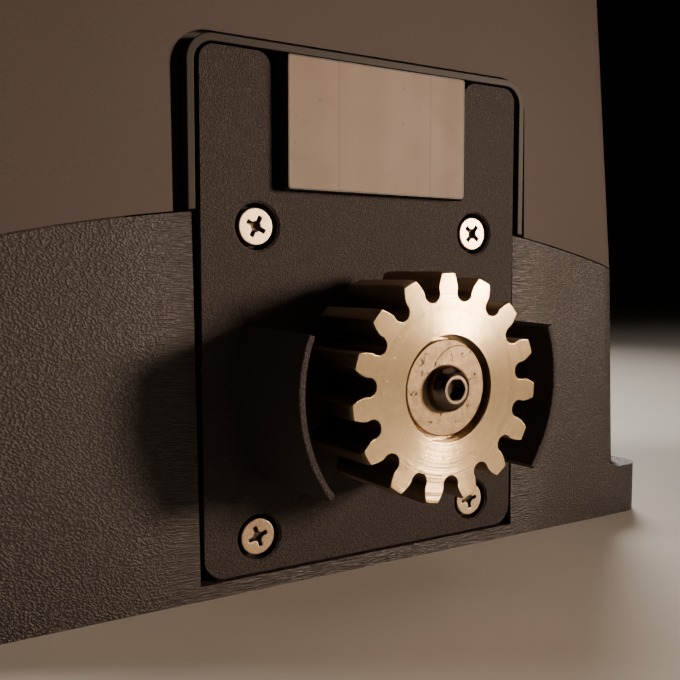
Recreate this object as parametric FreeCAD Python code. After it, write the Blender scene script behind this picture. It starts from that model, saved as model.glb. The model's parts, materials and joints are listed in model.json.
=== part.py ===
import FreeCAD, Part
import math
import os
from FreeCAD import Placement, Rotation, Vector

# Sliding gate motor with a rack pinion at the front, in millimetres.
# X runs to the right as seen from the pinion side, Y runs away from it, Z runs up.
# The origin is the centre of the four anchor slots, on the underside of the base.

# Moulded housing
base_width = 284.0
housing_depth = 184.0
housing_height = 290.0
base_side_draft = 1.5
cover_side_draft = 3.6
front_draft = 1.0
base_corner_radius = 12.0
cover_corner_radius = 18.0
cover_edge_radius = 14.0
crown_radius = 700.0
base_wall = 4.0
smallest_radius = 1.0
cover_wall = 3.0
floor_thickness = 4.6
parting_height = 120.3
parting_radius = 482.0
parting_gap = 0.5
tongue_thickness = 2.0
tongue_depth = 6.0
wall_rib_thickness = 2.5
wall_rib_depth = 7.0
wall_rib_top_gap = 4.0
front_rib_places = (-120.0, -84.0, 96.0, 124.0)
back_rib_places = (-124.0, -94.0, -64.0, 0.0, 92.0, 122.0)

# Foot flange and anchor slots
foot_width = 12.0
foot_height = 19.9
foot_corner_radius = 11.0
foot_edge_radius = 1.5
foot_blend_radius = 4.0
foot_blend_lean = 1.5
anchor_spacing_x = 210.0
anchor_spacing_y = 120.0
anchor_slot_width = 11.0
anchor_slot_length = 30.0
anchor_pad_margin = 6.0
anchor_pad_height = 3.0

# Cable entry
cable_entry_x = -30.0
cable_entry_y = 55.0
cable_entry_radius = 18.0
grommet_wall = 3.0
grommet_flange = 3.5
grommet_lip = 1.6
grommet_recess = 2.0
grommet_gap = 1.0

# Screws into the floor
pilot_floor = 1.0
small_screw_radius = 2.0
floor_screw_depth = 3.0

# Pinion axis and pinion
axis_x = 15.0
axis_z = 65.4
pinion_module = 4.0
pinion_teeth = 15
pinion_base_radius = 29.8
pinion_tooth_width = 6.93
pinion_tooth_radius = 31.0
pinion_tip_radius = 35.0
pinion_root_radius = 26.3
pinion_width = 30.0
pinion_chamfer = 0.7
pinion_chamfer_length = 1.8
pinion_phase = 91.46
pinion_standoff = 40.35
pinion_hub_radius = 19.0
pinion_hub_gap = 1.35
pressure_angle = 20.0
flank_lead = 0.12
counterbore_radius = 16.1
counterbore_depth = 4.2
washer_radius = 14.6
washer_thickness = 2.5
washer_edge_radius = 0.4
button_head_radius = 7.2
button_head_top_radius = 4.2
button_head_height = 4.8
button_belly_radius = 6.5
button_belly_height = 3.0
button_screw_radius = 4.0
button_screw_length = 18.0
hex_socket_width = 6.0
hex_socket_depth = 3.0

# Front plate with finger guards
plate_half_width = 61.7
plate_top = 101.4
plate_bottom = -59.7
plate_thickness = 8.0
plate_ear_radius = 5.0
plate_foot_radius = 7.0
plate_pocket_depth = 4.0
plate_pocket_half_width = 34.0
plate_pocket_rise = 6.0
plate_pocket_gap = 5.0
plate_pocket_radius = 4.0
notch_half_width = 38.1
notch_bottom = 59.8
notch_corner_radius = 2.0
plate_opening_radius = 22.0
plate_screw_x = 43.2
plate_screw_z = 48.6
plate_screw_head_radius = 5.8
plate_screw_head_height = 4.0
plate_screw_radius = 3.0
plate_screw_depth = 13.0
plate_screw_sink = 1.0
plate_screw_turns = (20, 62, 8, 50)
plate_counterbore_radius = 7.25
plate_counterbore_edge = 0.7
guard_front_radius = 49.0
guard_root_radius = 52.0
guard_front_thickness = 2.2
guard_root_thickness = 3.6
guard_reach = 36.5
guard_edge_radius = 0.6
guard_top_angle = 21.0
guard_bottom_angle = 37.0

# Limit sensor
sensor_half_width = 34.6
sensor_bottom = 60.1
sensor_top = 100.8
sensor_proud = 4.35
sensor_back = 12.0
sensor_corner_radius = 0.6
sensor_face_inset = 0.4
sensor_face_thickness = 1.2
sensor_flange_overlap = 6.0
sensor_flange_thickness = 3.0
sensor_flange_inset = 4.0
sensor_flange_radius = 3.0

# Openings round the plate and the raised rim
cutout_half_width_low = 63.05
cutout_half_width_high = 63.8
cover_opening_half_width = 69.5
cover_opening_top = 106.0
cover_opening_radius = 12.0
rim_half_width = 63.5
rim_width = 2.4
rim_top = 102.0
rim_corner_radius = 6.3
rim_proud = 0.8
rim_flange_reach = 13.0
rim_flange_thickness = 2.0

# Shafts and ball bearings: bore radius, outer radius and width
output_bearing = (12.5, 26.0, 15.0)
worm_lower_bearing = (7.5, 17.5, 11.0)
worm_middle_bearing = (8.5, 20.0, 12.0)
seat_gap = 0.02
running_gap = 0.06
moving_gap = 0.35
hole_clearance = 0.3
stub_radius = 10.0
stub_gap = 0.5
shoulder_radius = 15.0
key_width = 6.0
key_height = 6.0
key_length = 22.0
wheel_key_length = 34.0
key_lead = 1.5
wheel_key_lead = 6.0
seal_radius = 20.0
seal_width = 7.0
seal_inset = 1.0
seal_wall = 2.0
seal_lip_depth = 4.0
seal_lip_width = 1.5
circlip_thickness = 1.2
circlip_radius = 15.5
circlip_groove_depth = 1.0
circlip_groove_gap = 0.1
circlip_mouth = 8.0
bearing_inner_share = 0.27
bearing_outer_share = 0.24
bearing_shield = 0.9
seal_to_bearing = 5.0
rear_cap_gap = 3.0
middle_bearing_sink = 4.0
upper_bearing_rise = 2.0
shaft_step = 2.0

# Worm gear pair
worm_module = 3.0
wheel_teeth = 30
wheel_y = -32.0
wheel_face_width = 18.0
wheel_web_thickness = 10.0
wheel_rim_thickness = 5.0
wheel_hub_radius = 20.0
wheel_hub_reach = 14.0
wheel_hole_radius = 5.0
wheel_hole_count = 6
worm_pitch_radius = 14.0
worm_length = 44.0
tooth_thinning = 0.3
thread_overlap = 0.4

# Gearbox
lid_thickness = 10.0
lid_margin_x = 10.0
lid_margin_z = 9.0
lid_corner_radius = 8.0
lid_hub_wall = 5.0
lid_shaft_gap = 1.5
lid_collar_inset = 2.0
lid_screw_circle = 56.5
lid_screw_angles = (0, 55, 125, 180, 235, 305)
lid_screw_radius = 2.5
lid_screw_length = 22.0
lid_screw_sink = 4.0
lid_boss_radius = 6.0
lid_boss_wall = 1.2
lid_boss_length = 18.0
lid_plate_boss_radius = 6.5
lid_plate_boss_length = 6.0
lid_boss_clearance = 0.5
lid_collar_wall = 1.5
drum_wall = 4.0
drum_clearance = 4.0
worm_clearance = 1.5
worm_tube_wall = 6.5
drum_back_wall = 33.0
bearing_shoulder = 2.0
rear_cap_thickness = 4.0
gearbox_foot_thickness = 8.0
gearbox_foot_left = 78.0
gearbox_foot_right = 82.0
gearbox_foot_front = -66.0
gearbox_foot_back = 6.0
gearbox_foot_radius = 6.0
pedestal_inset_low = 6.0
pedestal_inset_high = 14.0
pedestal_drop = 20.0
gearbox_screw_inset = 8.0
gearbox_screw_radius = 3.0
motor_flange_radius = 50.0
motor_flange_thickness = 10.0
motor_flange_height = 128.0
flange_rib_half = 2.0
flange_rib_inset = 4.0
flange_rib_drop = 26.0
flange_rib_root = 3.0

# Motor
motor_bore = 39.0
motor_frame_wall = 3.0
motor_fin_radius = 46.0
motor_fin_thickness = 2.0
motor_fin_count = 24
motor_fin_top_gap = 6.0
motor_floor_gap = 3.0
motor_frame_height = 100.0
motor_end_thickness = 6.0
end_cap_height = 20.0
end_lug_height = 8.0
end_cap_waist = 9.0
end_cap_top_radius = 26.0
end_cap_edge_radius = 4.0
end_cap_crown_radius = 5.0
winding_room = 1.5
stack_height = 60.0
stack_clearance = 22.0
air_gap = 0.5
rotor_radius = 24.0
rotor_ring_height = 5.0
rotor_ring_radius = 21.0
winding_height = 13.0
winding_inner = 26.5
winding_outer = 36.0
winding_edge_radius = 3.0
motor_lug_radius = 5.0
motor_lug_circle = 45.0
motor_lug_angle = 45.0
motor_lug_trim = 0.2
motor_bolt_radius = 2.5
motor_bolt_grip = 7.0

# Manual release on the left side
release_y = -38.0
release_z = 63.0
lever_height = 40.0
lever_thickness = 10.5
lever_length = 100.0
lever_gap = 0.8
lever_pin_radius = 2.5
lever_boss_radius = 6.5
lever_throw = 2.5
lever_web = 7.5
lever_grip_length = 26.0
lever_grip_slope = 4.0
lever_inner_radius = 2.0
lever_outer_radius = 3.0
tray_depth = 17.0
tray_wall = 3.0
pocket_corner_radius = 3.0
release_rod_radius = 4.0
release_boss_radius = 8.0
release_bore_end = 2.0
release_bore_wall = 0.5
release_boss_length = 10.0
release_boss_root = 2.0
release_rod_chamfer = 0.8
lock_inset = 16.0
lock_radius = 6.5
lock_flange_radius = 8.5
lock_flange_height = 1.2
lock_slot_width = 1.6
lock_slot_length = 8.0
lock_slot_depth = 7.0

# Cover screws and the open-topped tabs that they go into
cover_screw_z = 111.0
cover_screw_y = 30.0
cover_screw_radius = 2.5
cover_screw_head_radius = 4.5
cover_screw_head_height = 2.4
cover_screw_length = 16.0
spot_face_gap = 0.6
spot_face_depth = 0.1
tab_width = 22.0
tab_thickness = 4.0
tab_top_margin = 8.0
tab_corner_radius = 3.0
tab_root_gap = 3.0
tab_overlap = 14.0
tab_root_drop = 26.0
tab_root_wall_drop = 40.0
tab_room = 2.0
tab_room_top = 20.0

# Control board and its carrier
carrier_left = 14.0
carrier_wall_gap = 22.0
carrier_bottom = 130.0
carrier_top = 250.0
carrier_y = -22.0
carrier_thickness = 3.0
carrier_rim_wall = 2.5
carrier_rim_height = 5.0
carrier_corner_radius = 5.0
carrier_leg_width = 28.0
carrier_leg_overlap = 10.0
carrier_foot_inset = 7.5
carrier_leg_depth = 16.0
carrier_pad_thickness = 4.0
board_margin = 5.0
board_corner_radius = 2.0
board_screw_inset = 5.0
board_thickness = 1.6
board_standoff = 6.0
board_screw_radius = 1.5
board_screw_depth = 5.0
board_screw_head_radius = 2.8
board_screw_head_height = 1.8
standoff_radius = 3.5
relay_size = (18.0, 15.0, 16.0)
relay_count = 3
relay_gap = 6.0
relay_place = (12.0, 29.0)
relay_edge_radius = 1.0
terminal_pitch = 5.0
terminal_height = 11.0
terminal_depth = 10.0
terminal_ways = 16
terminal_inset = 2.0
terminal_well_radius = 1.7
terminal_well_depth = 2.0
fuse_size = (26.0, 11.0, 10.0)
fuse_place = (34.0, 57.0)
fuse_edge_radius = 2.0

# Transformer and capacitor on the floor
transformer_x = 38.0
transformer_y = 50.0
transformer_width = 66.0
transformer_height = 55.0
transformer_stack = 30.0
transformer_leg = 11.0
coil_overhang = 9.0
transformer_tab_thickness = 3.0
transformer_tab_reach = 10.0
transformer_tab_root = 2.0
transformer_tab_width = 16.0
transformer_screw_reach = 5.5
coil_corner_radius = 5.0
capacitor_wall_gap = 42.0
capacitor_y = 8.0
capacitor_radius = 20.0
capacitor_height = 92.0
capacitor_edge_radius = 2.0
capacitor_neck = 3.0
capacitor_neck_height = 4.0
blade_spacing = 12.0
blade_width = 6.0
blade_thickness = 0.8
blade_height = 8.0
clip_thickness = 1.5
clip_height = 14.0
clip_rise = 6.0
clip_width = 14.0
clip_foot_length = 12.0
clip_mouth = 8.0

# How far cutters run past a face, and joined pieces into each other
over = 1.0
far_over = 10.0

# Screw heads: width across the flats and height, and the shares of a cross recess
small_hex_head = (6.0, 2.8)
lid_hex_head = (8.0, 3.4)
motor_hex_head = (8.0, 3.5)
gearbox_hex_head = (10.0, 4.0)
recess_reach_share = 0.58
recess_width_share = 0.22
recess_depth = 1.8
flat_head_edge = 0.4
dome_share = 0.6

# Places worked out from the sizes above
plate_y = -housing_depth / 2
plate_back_y = plate_y + plate_thickness
lid_back_y = plate_back_y + lid_thickness
lid_screw_seat_y = plate_back_y + lid_screw_sink
pinion_front_y = plate_y - pinion_standoff
hub_back_y = plate_y - pinion_hub_gap
worm_pitch = math.pi * worm_module
wheel_pitch_radius = worm_module * wheel_teeth / 2
wheel_tip_radius = wheel_pitch_radius + worm_module
worm_tip_radius = worm_pitch_radius + worm_module
worm_root_radius = worm_pitch_radius - 1.25 * worm_module
worm_x = axis_x - wheel_pitch_radius - worm_pitch_radius
drum_cavity_radius = wheel_tip_radius + drum_clearance
drum_radius = drum_cavity_radius + drum_wall
worm_cavity_radius = worm_tip_radius + worm_clearance
worm_tube_radius = worm_cavity_radius + worm_tube_wall
drum_back_y = wheel_y + wheel_face_width / 2 + drum_clearance + drum_back_wall
shaft_seal_y = plate_y + seal_inset
front_bearing_y = shaft_seal_y + seal_width + seal_to_bearing
rear_bearing_y = drum_back_y - rear_cap_thickness - rear_cap_gap - output_bearing[2]
motor_z = motor_flange_height
middle_bearing_z = motor_z - middle_bearing_sink - worm_middle_bearing[2]
lower_bearing_z = floor_thickness + gearbox_foot_thickness
stack_z = motor_z + stack_clearance
frame_top_z = motor_z + motor_frame_height
upper_bearing_z = frame_top_z + upper_bearing_rise
capacitor_x = capacitor_wall_gap - base_width / 2
carrier_right = base_width / 2 - carrier_wall_gap
carrier_leg_left = carrier_right - carrier_leg_width


def rod_x(radius, x0, x1, y, z):
    return Part.makeCylinder(radius, x1 - x0, Vector(x0, y, z), Vector(1, 0, 0))


def rod_y(radius, y0, y1, x=axis_x, z=axis_z):
    return Part.makeCylinder(radius, y1 - y0, Vector(x, y0, z), Vector(0, 1, 0))


def rod_z(radius, z0, z1, x=worm_x, y=wheel_y):
    return Part.makeCylinder(radius, z1 - z0, Vector(x, y, z0), Vector(0, 0, 1))


def box(x0, x1, y0, y1, z0, z1):
    return Part.makeBox(x1 - x0, y1 - y0, z1 - z0, Vector(x0, y0, z0))


def join(shapes):
    """One shape from many, without the seams between them."""
    return shapes[0].multiFuse(shapes[1:]).removeSplitter()


def on_level(z):
    return lambda point: Vector(point.x, point.y, z)


def facing_y(y):
    return lambda point: Vector(point.x, y, point.y)


def facing_x(x):
    return lambda point: Vector(x, point.x, point.y)


def rounded_polygon(corners, to_space):
    """Face with straight sides; each corner is (u, v) or (u, v, radius)."""
    starts, middles, ends = [], [], []
    for index, corner in enumerate(corners):
        here = Vector(corner[0], corner[1], 0)
        following = corners[(index + 1) % len(corners)]
        before = (Vector(corners[index - 1][0], corners[index - 1][1], 0) - here).normalize()
        after = (Vector(following[0], following[1], 0) - here).normalize()
        if len(corner) < 3 or corner[2] <= 0:
            starts.append(here)
            middles.append(None)
            ends.append(here)
            continue
        half_angle = before.getAngle(after) / 2
        reach = corner[2] / math.tan(half_angle)
        inward = (before + after).normalize()
        centre = here + inward * (corner[2] / math.sin(half_angle))
        starts.append(here + before * reach)
        middles.append(centre - inward * corner[2])
        ends.append(here + after * reach)
    edges = []
    for index, middle in enumerate(middles):
        if middle is not None:
            arc = Part.Arc(to_space(starts[index]), to_space(middle), to_space(ends[index]))
            edges.append(arc.toShape())
        next_start = starts[(index + 1) % len(corners)]
        if (next_start - ends[index]).Length > 1e-6:
            edges.append(Part.makeLine(to_space(ends[index]), to_space(next_start)))
    return Part.Face(Part.Wire(edges))


def rectangle(u0, u1, v0, v1, radius=0.0):
    return [(u0, v0, radius), (u1, v0, radius), (u1, v1, radius), (u0, v1, radius)]


def prism_x(corners, x0, x1):
    return rounded_polygon(corners, facing_x(x0)).extrude(Vector(x1 - x0, 0, 0))


def prism_y(corners, y0, y1):
    return rounded_polygon(corners, facing_y(y0)).extrude(Vector(0, y1 - y0, 0))


def prism_z(corners, z0, z1):
    return rounded_polygon(corners, on_level(z0)).extrude(Vector(0, 0, z1 - z0))


def placed(shape, at, direction):
    """A copy of a shape drawn along +Z, moved to a point and turned to a direction."""
    copy = shape.copy()
    copy.Placement = Placement(Vector(*at), Rotation(Vector(0, 0, 1), Vector(*direction)))
    return copy


def turned(profile, at, direction):
    """Body of revolution from (radius, height) corners, along a direction from a point."""
    face = rounded_polygon(profile, facing_y(0.0))
    body = face.revolve(Vector(0, 0, 0), Vector(0, 0, 1), 360)
    return placed(body, at, direction)


# Moulded housing

def parting_z(x):
    """Height of the arched parting line at a distance from the middle."""
    return parting_height - parting_radius + math.sqrt(parting_radius ** 2 - x ** 2)


shoulder_z = parting_z(base_width / 2)


def side_x(z):
    """Half width of the housing's outside at a height."""
    low = min(z, shoulder_z) * math.tan(math.radians(base_side_draft))
    high = max(z - shoulder_z, 0) * math.tan(math.radians(cover_side_draft))
    return base_width / 2 - low - high


def front_y(z):
    """Outside face of the front wall at a height."""
    return -housing_depth / 2 + z * math.tan(math.radians(front_draft))


def back_y(z):
    """Outside face of the back wall at a height, drafted like the sides."""
    return housing_depth / 2 - (base_width / 2 - side_x(z))


def corner_at(z):
    share = max(z - shoulder_z, 0) / (housing_height - shoulder_z)
    return base_corner_radius + share * (cover_corner_radius - base_corner_radius)


def arched_prism(crest, radius):
    """Everything below a cylindrical surface that runs front to back, its crest in the middle."""
    reach = base_width
    depth = housing_depth
    low = crest - radius + math.sqrt(radius ** 2 - reach ** 2)
    top = Part.Arc(Vector(-reach, -depth, low), Vector(0, -depth, crest), Vector(reach, -depth, low))
    corners = [Vector(reach, -depth, low), Vector(reach, -depth, -reach), Vector(-reach, -depth, -reach),
               Vector(-reach, -depth, low)]
    sides = [Part.makeLine(start, end) for start, end in zip(corners, corners[1:])]
    return Part.Face(Part.Wire([top.toShape()] + sides)).extrude(Vector(0, 2 * depth, 0))


def envelope(inset=0.0, bottom=0.0):
    """The closed form of the whole housing, or of its inside at an inset."""
    wires = []
    for z in (bottom, shoulder_z, housing_height + cover_wall):
        x = side_x(z) - inset
        radius = max(corner_at(z) - inset, smallest_radius)
        section = rectangle(-x, x, front_y(z) + inset, back_y(z) - inset, radius)
        wires.append(rounded_polygon(section, on_level(z)).OuterWire)
    body = Part.makeLoft(wires, True, True)
    body = body.common(arched_prism(housing_height - inset, crown_radius - inset)).Solids[0]
    top_edges = [edge for edge in body.Edges if edge.BoundBox.ZMin > (shoulder_z + housing_height) / 2]
    return body.makeFillet(max(cover_edge_radius - inset, smallest_radius), top_edges)


def under_parting(offset=0.0):
    """Everything below the arched parting surface, raised by an offset."""
    return arched_prism(parting_height + offset, parting_radius + offset)


def front_opening(half_low, half_high, bottom, top, radius=0.0, y0=None, y1=None):
    """Prism through the front wall, centred on the pinion."""
    corners = [
        (axis_x - half_low, bottom),
        (axis_x + half_low, bottom),
        (axis_x + half_high, top, radius),
        (axis_x - half_high, top, radius),
    ]
    start = plate_y - far_over if y0 is None else y0
    end = front_y(top) + 2 * base_wall if y1 is None else y1
    return prism_y(corners, start, end)


def foot(side):
    """Flange along one side of the base, with a blend into the wall and round its corners."""
    wall_low = side_x(foot_height)
    inner = wall_low - base_corner_radius - base_wall
    outer = base_width / 2 + foot_width
    profile = [
        (side * inner, 0),
        (side * outer, 0),
        (side * outer, foot_height, foot_edge_radius),
        (side * inner, foot_height),
    ]
    flange = prism_y(profile, -housing_depth / 2, housing_depth / 2)
    blend_top = foot_height + 2 * foot_blend_radius
    plan = rectangle(-outer, outer, front_y(0), back_y(0), foot_corner_radius)
    ends = [
        (front_y(0), 0),
        (back_y(0), 0),
        (back_y(blend_top), blend_top),
        (front_y(blend_top), blend_top),
    ]
    pieces = [flange]
    straight_start = front_y(foot_height) + base_corner_radius
    straight_end = back_y(foot_height) - base_corner_radius
    middle = wall_low - base_corner_radius
    reach = base_corner_radius + 2 * foot_blend_radius
    blend = [
        (0, foot_height - over),
        (reach, foot_height - over),
        (reach, foot_height),
        (base_corner_radius, foot_height, foot_blend_radius),
        (base_corner_radius - foot_blend_lean, blend_top),
        (0, blend_top),
    ]
    straight = [(side * (middle + corner[0]),) + corner[1:] for corner in blend]
    pieces.append(prism_y(straight, straight_start, straight_end))
    for y in (straight_start, straight_end):
        pieces.append(turned(blend, (side * middle, y, 0), (0, 0, 1)))
    return join(pieces).common(prism_z(plan, 0, blend_top)).common(prism_x(ends, -outer, outer))


def anchor_points():
    return [
        (side * anchor_spacing_x / 2, end * anchor_spacing_y / 2)
        for side in (-1, 1)
        for end in (-1, 1)
    ]


def slot_outline(x, y, grow=0.0):
    half_length = anchor_slot_length / 2 + grow
    half_width = anchor_slot_width / 2 + grow
    return rectangle(x - half_length, x + half_length, y - half_width, y + half_width, half_width)


def lever_pocket():
    """Corners, in the side view, of the pocket that the release lever lies in."""
    y0 = release_y - lever_boss_radius - 2 * lever_gap - lever_throw
    y1 = release_y + lever_length + lever_gap
    z0 = release_z - lever_height / 2 - lever_gap
    z1 = release_z + lever_height / 2 + lever_gap
    return y0, y1, z0, z1


lever_outer_x = -side_x(release_z)
pocket_floor_x = lever_outer_x + tray_depth
lever_pin_x = lever_outer_x + lever_boss_radius + lever_throw
lock_y = release_y + lever_length - lock_inset


def release_tray():
    y0, y1, z0, z1 = lever_pocket()
    tray = rectangle(y0 - tray_wall, y1 + tray_wall, z0 - 2 * tray_wall, z1 + 2 * tray_wall, tray_wall)
    return prism_x(tray, lever_outer_x + base_wall / 2, pocket_floor_x + tray_wall)


def release_pocket():
    y0, y1, z0, z1 = lever_pocket()
    outline = rectangle(y0, y1, z0, z1, pocket_corner_radius)
    return prism_x(outline, lever_outer_x - far_over, pocket_floor_x)


def tab_inner_x():
    """Inner face of the tabs behind the cover's tongue."""
    return side_x(cover_screw_z) - base_wall - tongue_thickness - tab_thickness - 4 * moving_gap


def cover_tab(side):
    """Upright tab with an open-topped slot for one cover screw."""
    x0 = tab_inner_x()
    x1 = x0 + tab_thickness
    wall_x = side_x(foot_height) - base_wall / 2
    root_top = shoulder_z - tongue_depth - tab_root_gap
    y0 = cover_screw_y - tab_width / 2
    y1 = cover_screw_y + tab_width / 2
    top = cover_screw_z + tab_top_margin
    upright = prism_x(rectangle(y0, y1, root_top - tab_overlap, top, tab_corner_radius), x0, x1)
    root_profile = [
        (x0, root_top - tab_root_drop),
        (wall_x, root_top - tab_root_wall_drop),
        (wall_x, root_top),
        (x0, root_top),
    ]
    root = prism_y(root_profile, y0, y1)
    slot_half = cover_screw_radius + moving_gap
    slot_low = cover_screw_z - slot_half
    outline = rectangle(cover_screw_y - slot_half, cover_screw_y + slot_half, slot_low, top + far_over,
                        slot_half)
    tab = upright.fuse(root.common(envelope(base_wall / 2)))
    tab = tab.cut(prism_x(outline, x0 - far_over, x1 + far_over))
    return tab if side > 0 else tab.mirror(Vector(0, 0, 0), Vector(1, 0, 0))


def wall_ribs():
    """Upright ribs inside the front and back walls of the base."""
    ribs = []
    top = shoulder_z - tongue_depth - wall_rib_top_gap
    front_end = front_y(top) + base_wall + wall_rib_depth
    back_end = back_y(top) - base_wall - wall_rib_depth
    for x in front_rib_places:
        ribs.append(box(x, x + wall_rib_thickness, -housing_depth / 2, front_end, 0, top))
    for x in back_rib_places:
        ribs.append(box(x, x + wall_rib_thickness, back_end, housing_depth / 2, 0, top))
    return ribs


def base_housing():
    outside = join([envelope().common(under_parting()), foot(1), foot(-1)])
    body = outside.cut(envelope(base_wall, floor_thickness))
    cutout = front_opening(cutout_half_width_low, cutout_half_width_high, floor_thickness,
                           parting_height + far_over)
    body = body.cut(cutout)
    extras = [rib.common(envelope(base_wall / 2)) for rib in wall_ribs()]
    extras += [release_tray(), cover_tab(1), cover_tab(-1)]
    for x, y in anchor_points():
        extras.append(prism_z(slot_outline(x, y, anchor_pad_margin), 0, floor_thickness + anchor_pad_height))
    body = join([body] + extras)
    for x, y in anchor_points():
        body = body.cut(prism_z(slot_outline(x, y), -1, floor_thickness + anchor_pad_height + over))
    body = body.cut(release_pocket())
    _, _, z0, z1 = lever_pocket()
    pin_hole = rod_z(lever_pin_radius + seat_gap, z0 - tray_wall, z1 + tray_wall, lever_pin_x, release_y)
    body = body.cut(pin_hole)
    bore = release_rod_radius + running_gap
    tray_back_x = pocket_floor_x + tray_wall + over
    body = body.cut(rod_x(bore, pocket_floor_x - over, tray_back_x, release_y, release_z))
    body = body.cut(rod_z(cable_entry_radius, -1, floor_thickness + over, cable_entry_x, cable_entry_y))
    recess = cable_entry_radius + grommet_flange + grommet_gap
    body = body.cut(rod_z(recess, -over, grommet_recess, cable_entry_x, cable_entry_y))
    for x, y in gearbox_screw_points():
        body = body.cut(rod_z(gearbox_screw_radius + seat_gap, pilot_floor, floor_thickness + over, x, y))
    for x, y in carrier_foot_points() + transformer_screw_points():
        body = body.cut(rod_z(small_screw_radius + seat_gap, pilot_floor, floor_thickness + over, x, y))
    return body


def cover():
    outside = envelope()
    inside = envelope(cover_wall)
    shell = outside.cut(inside)
    tongue_outer = base_wall + moving_gap
    tongue_inner = tongue_outer + tongue_thickness
    tongue_core = envelope(tongue_inner)
    tongue = envelope(tongue_outer).cut(tongue_core)
    tongue = tongue.common(under_parting(tongue_depth)).cut(under_parting(-tongue_depth))
    land = envelope(cover_wall / 2).cut(tongue_core)
    land = land.common(under_parting(tongue_depth)).cut(under_parting(parting_gap))
    clear_half = cover_opening_half_width + rim_flange_reach
    around_rim = front_opening(clear_half, clear_half, 0, parting_height + 3 * tongue_depth)
    lip = tongue.fuse(land).cut(around_rim)
    shell = shell.cut(under_parting(parting_gap))
    body = join([shell, lip])
    opening = front_opening(
        cover_opening_half_width,
        cover_opening_half_width,
        0,
        axis_z + cover_opening_top,
        cover_opening_radius,
    )
    body = body.cut(opening)
    tab_half = tab_width / 2 + tab_room
    for side in (-1, 1):
        tab_space = box(tab_inner_x() - tab_room, side_x(cover_screw_z) - base_wall, cover_screw_y - tab_half,
                        cover_screw_y + tab_half, 0, cover_screw_z + tab_room_top)
        hole = rod_x(cover_screw_radius + seat_gap, tab_inner_x(), base_width / 2, cover_screw_y,
                     cover_screw_z)
        spot_face = rod_x(cover_screw_head_radius + spot_face_gap, cover_screw_seat(), base_width / 2,
                          cover_screw_y, cover_screw_z)
        for cutter in (tab_space, hole, spot_face):
            if side < 0:
                cutter = cutter.mirror(Vector(0, 0, 0), Vector(1, 0, 0))
            body = body.cut(cutter)
    return body


def rim_frame(grow, y0, y1):
    """Upside-down U round the top of the plate, grown outwards by a width."""
    outer = front_opening(rim_half_width + grow, rim_half_width + grow, 0, axis_z + rim_top + grow,
                          rim_corner_radius + grow, y0, y1)
    inner = front_opening(rim_half_width, rim_half_width, -1, axis_z + rim_top, rim_corner_radius,
                          y0 - over, y1 + over)
    return outer.cut(inner)


def cover_trim():
    back = front_y(housing_height) + cover_wall + rim_flange_thickness
    lip = rim_frame(rim_width, plate_y - rim_proud, back)
    flange = rim_frame(rim_flange_reach, plate_y, back).common(envelope(cover_wall))
    body = join([lip, flange]).cut(envelope(cover_wall + rim_flange_thickness))
    return body.cut(under_parting(parting_gap))


def cover_screw_seat():
    """Where the spot face for a cover screw's head lies, from the middle."""
    return side_x(cover_screw_z + cover_screw_head_radius + spot_face_gap) - spot_face_depth


def cover_screws():
    """One captive screw on each side, its head outside the cover."""
    screws = []
    for side in (-1, 1):
        seat = side * cover_screw_seat()
        head = rounded_head(cover_screw_head_radius, cover_screw_head_height)
        recess = cross_recess(cover_screw_head_radius, cover_screw_head_height)
        shank = Part.makeCylinder(cover_screw_radius, cover_screw_length, Vector(0, 0, -cover_screw_length))
        screw = head.cut(recess).fuse(shank).removeSplitter()
        screws.append(placed(screw, (seat, cover_screw_y, cover_screw_z), (side, 0, 0)))
    return Part.Compound(screws)


# Screws

def cross_recess(head_radius, top):
    """Cutter for a cross recess that suits the head it is cut into."""
    reach = head_radius * recess_reach_share
    width = head_radius * recess_width_share
    floor = top - recess_depth
    wing = box(-reach, reach, -width / 2, width / 2, floor, top + over)
    other = box(-width / 2, width / 2, -reach, reach, floor, top + over)
    core = Part.makeCone(width, width + over / 2, recess_depth + over, Vector(0, 0, floor))
    return wing.multiFuse([other, core])


def rounded_head(radius, height):
    profile = [(0, 0), (radius, 0), (radius, height, height * dome_share), (0, height)]
    return rounded_polygon(profile, facing_y(0.0)).revolve(Vector(0, 0, 0), Vector(0, 0, 1), 360)


def flat_head_screw(head_radius, head_height, radius, length):
    profile = [(0, -length), (radius, -length), (radius, 0), (head_radius, 0),
               (head_radius, head_height, flat_head_edge), (0, head_height)]
    body = rounded_polygon(profile, facing_y(0.0)).revolve(Vector(0, 0, 0), Vector(0, 0, 1), 360)
    return body.cut(cross_recess(head_radius, head_height))


def hex_prism(width, height):
    points = []
    for corner in range(6):
        angle = math.radians(60 * corner)
        reach = width / math.sqrt(3)
        points.append((reach * math.cos(angle), reach * math.sin(angle)))
    return prism_z(points, 0, height)


def hex_head_bolt(head, radius, length):
    shank = Part.makeCylinder(radius, length, Vector(0, 0, -length))
    return hex_prism(*head).fuse(shank).removeSplitter()


# Pinion and its fastening

def involute(base_radius, radius):
    """Angle that an involute has turned by where it reaches a radius."""
    pressure = math.acos(base_radius / radius)
    return math.tan(pressure) - pressure


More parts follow.
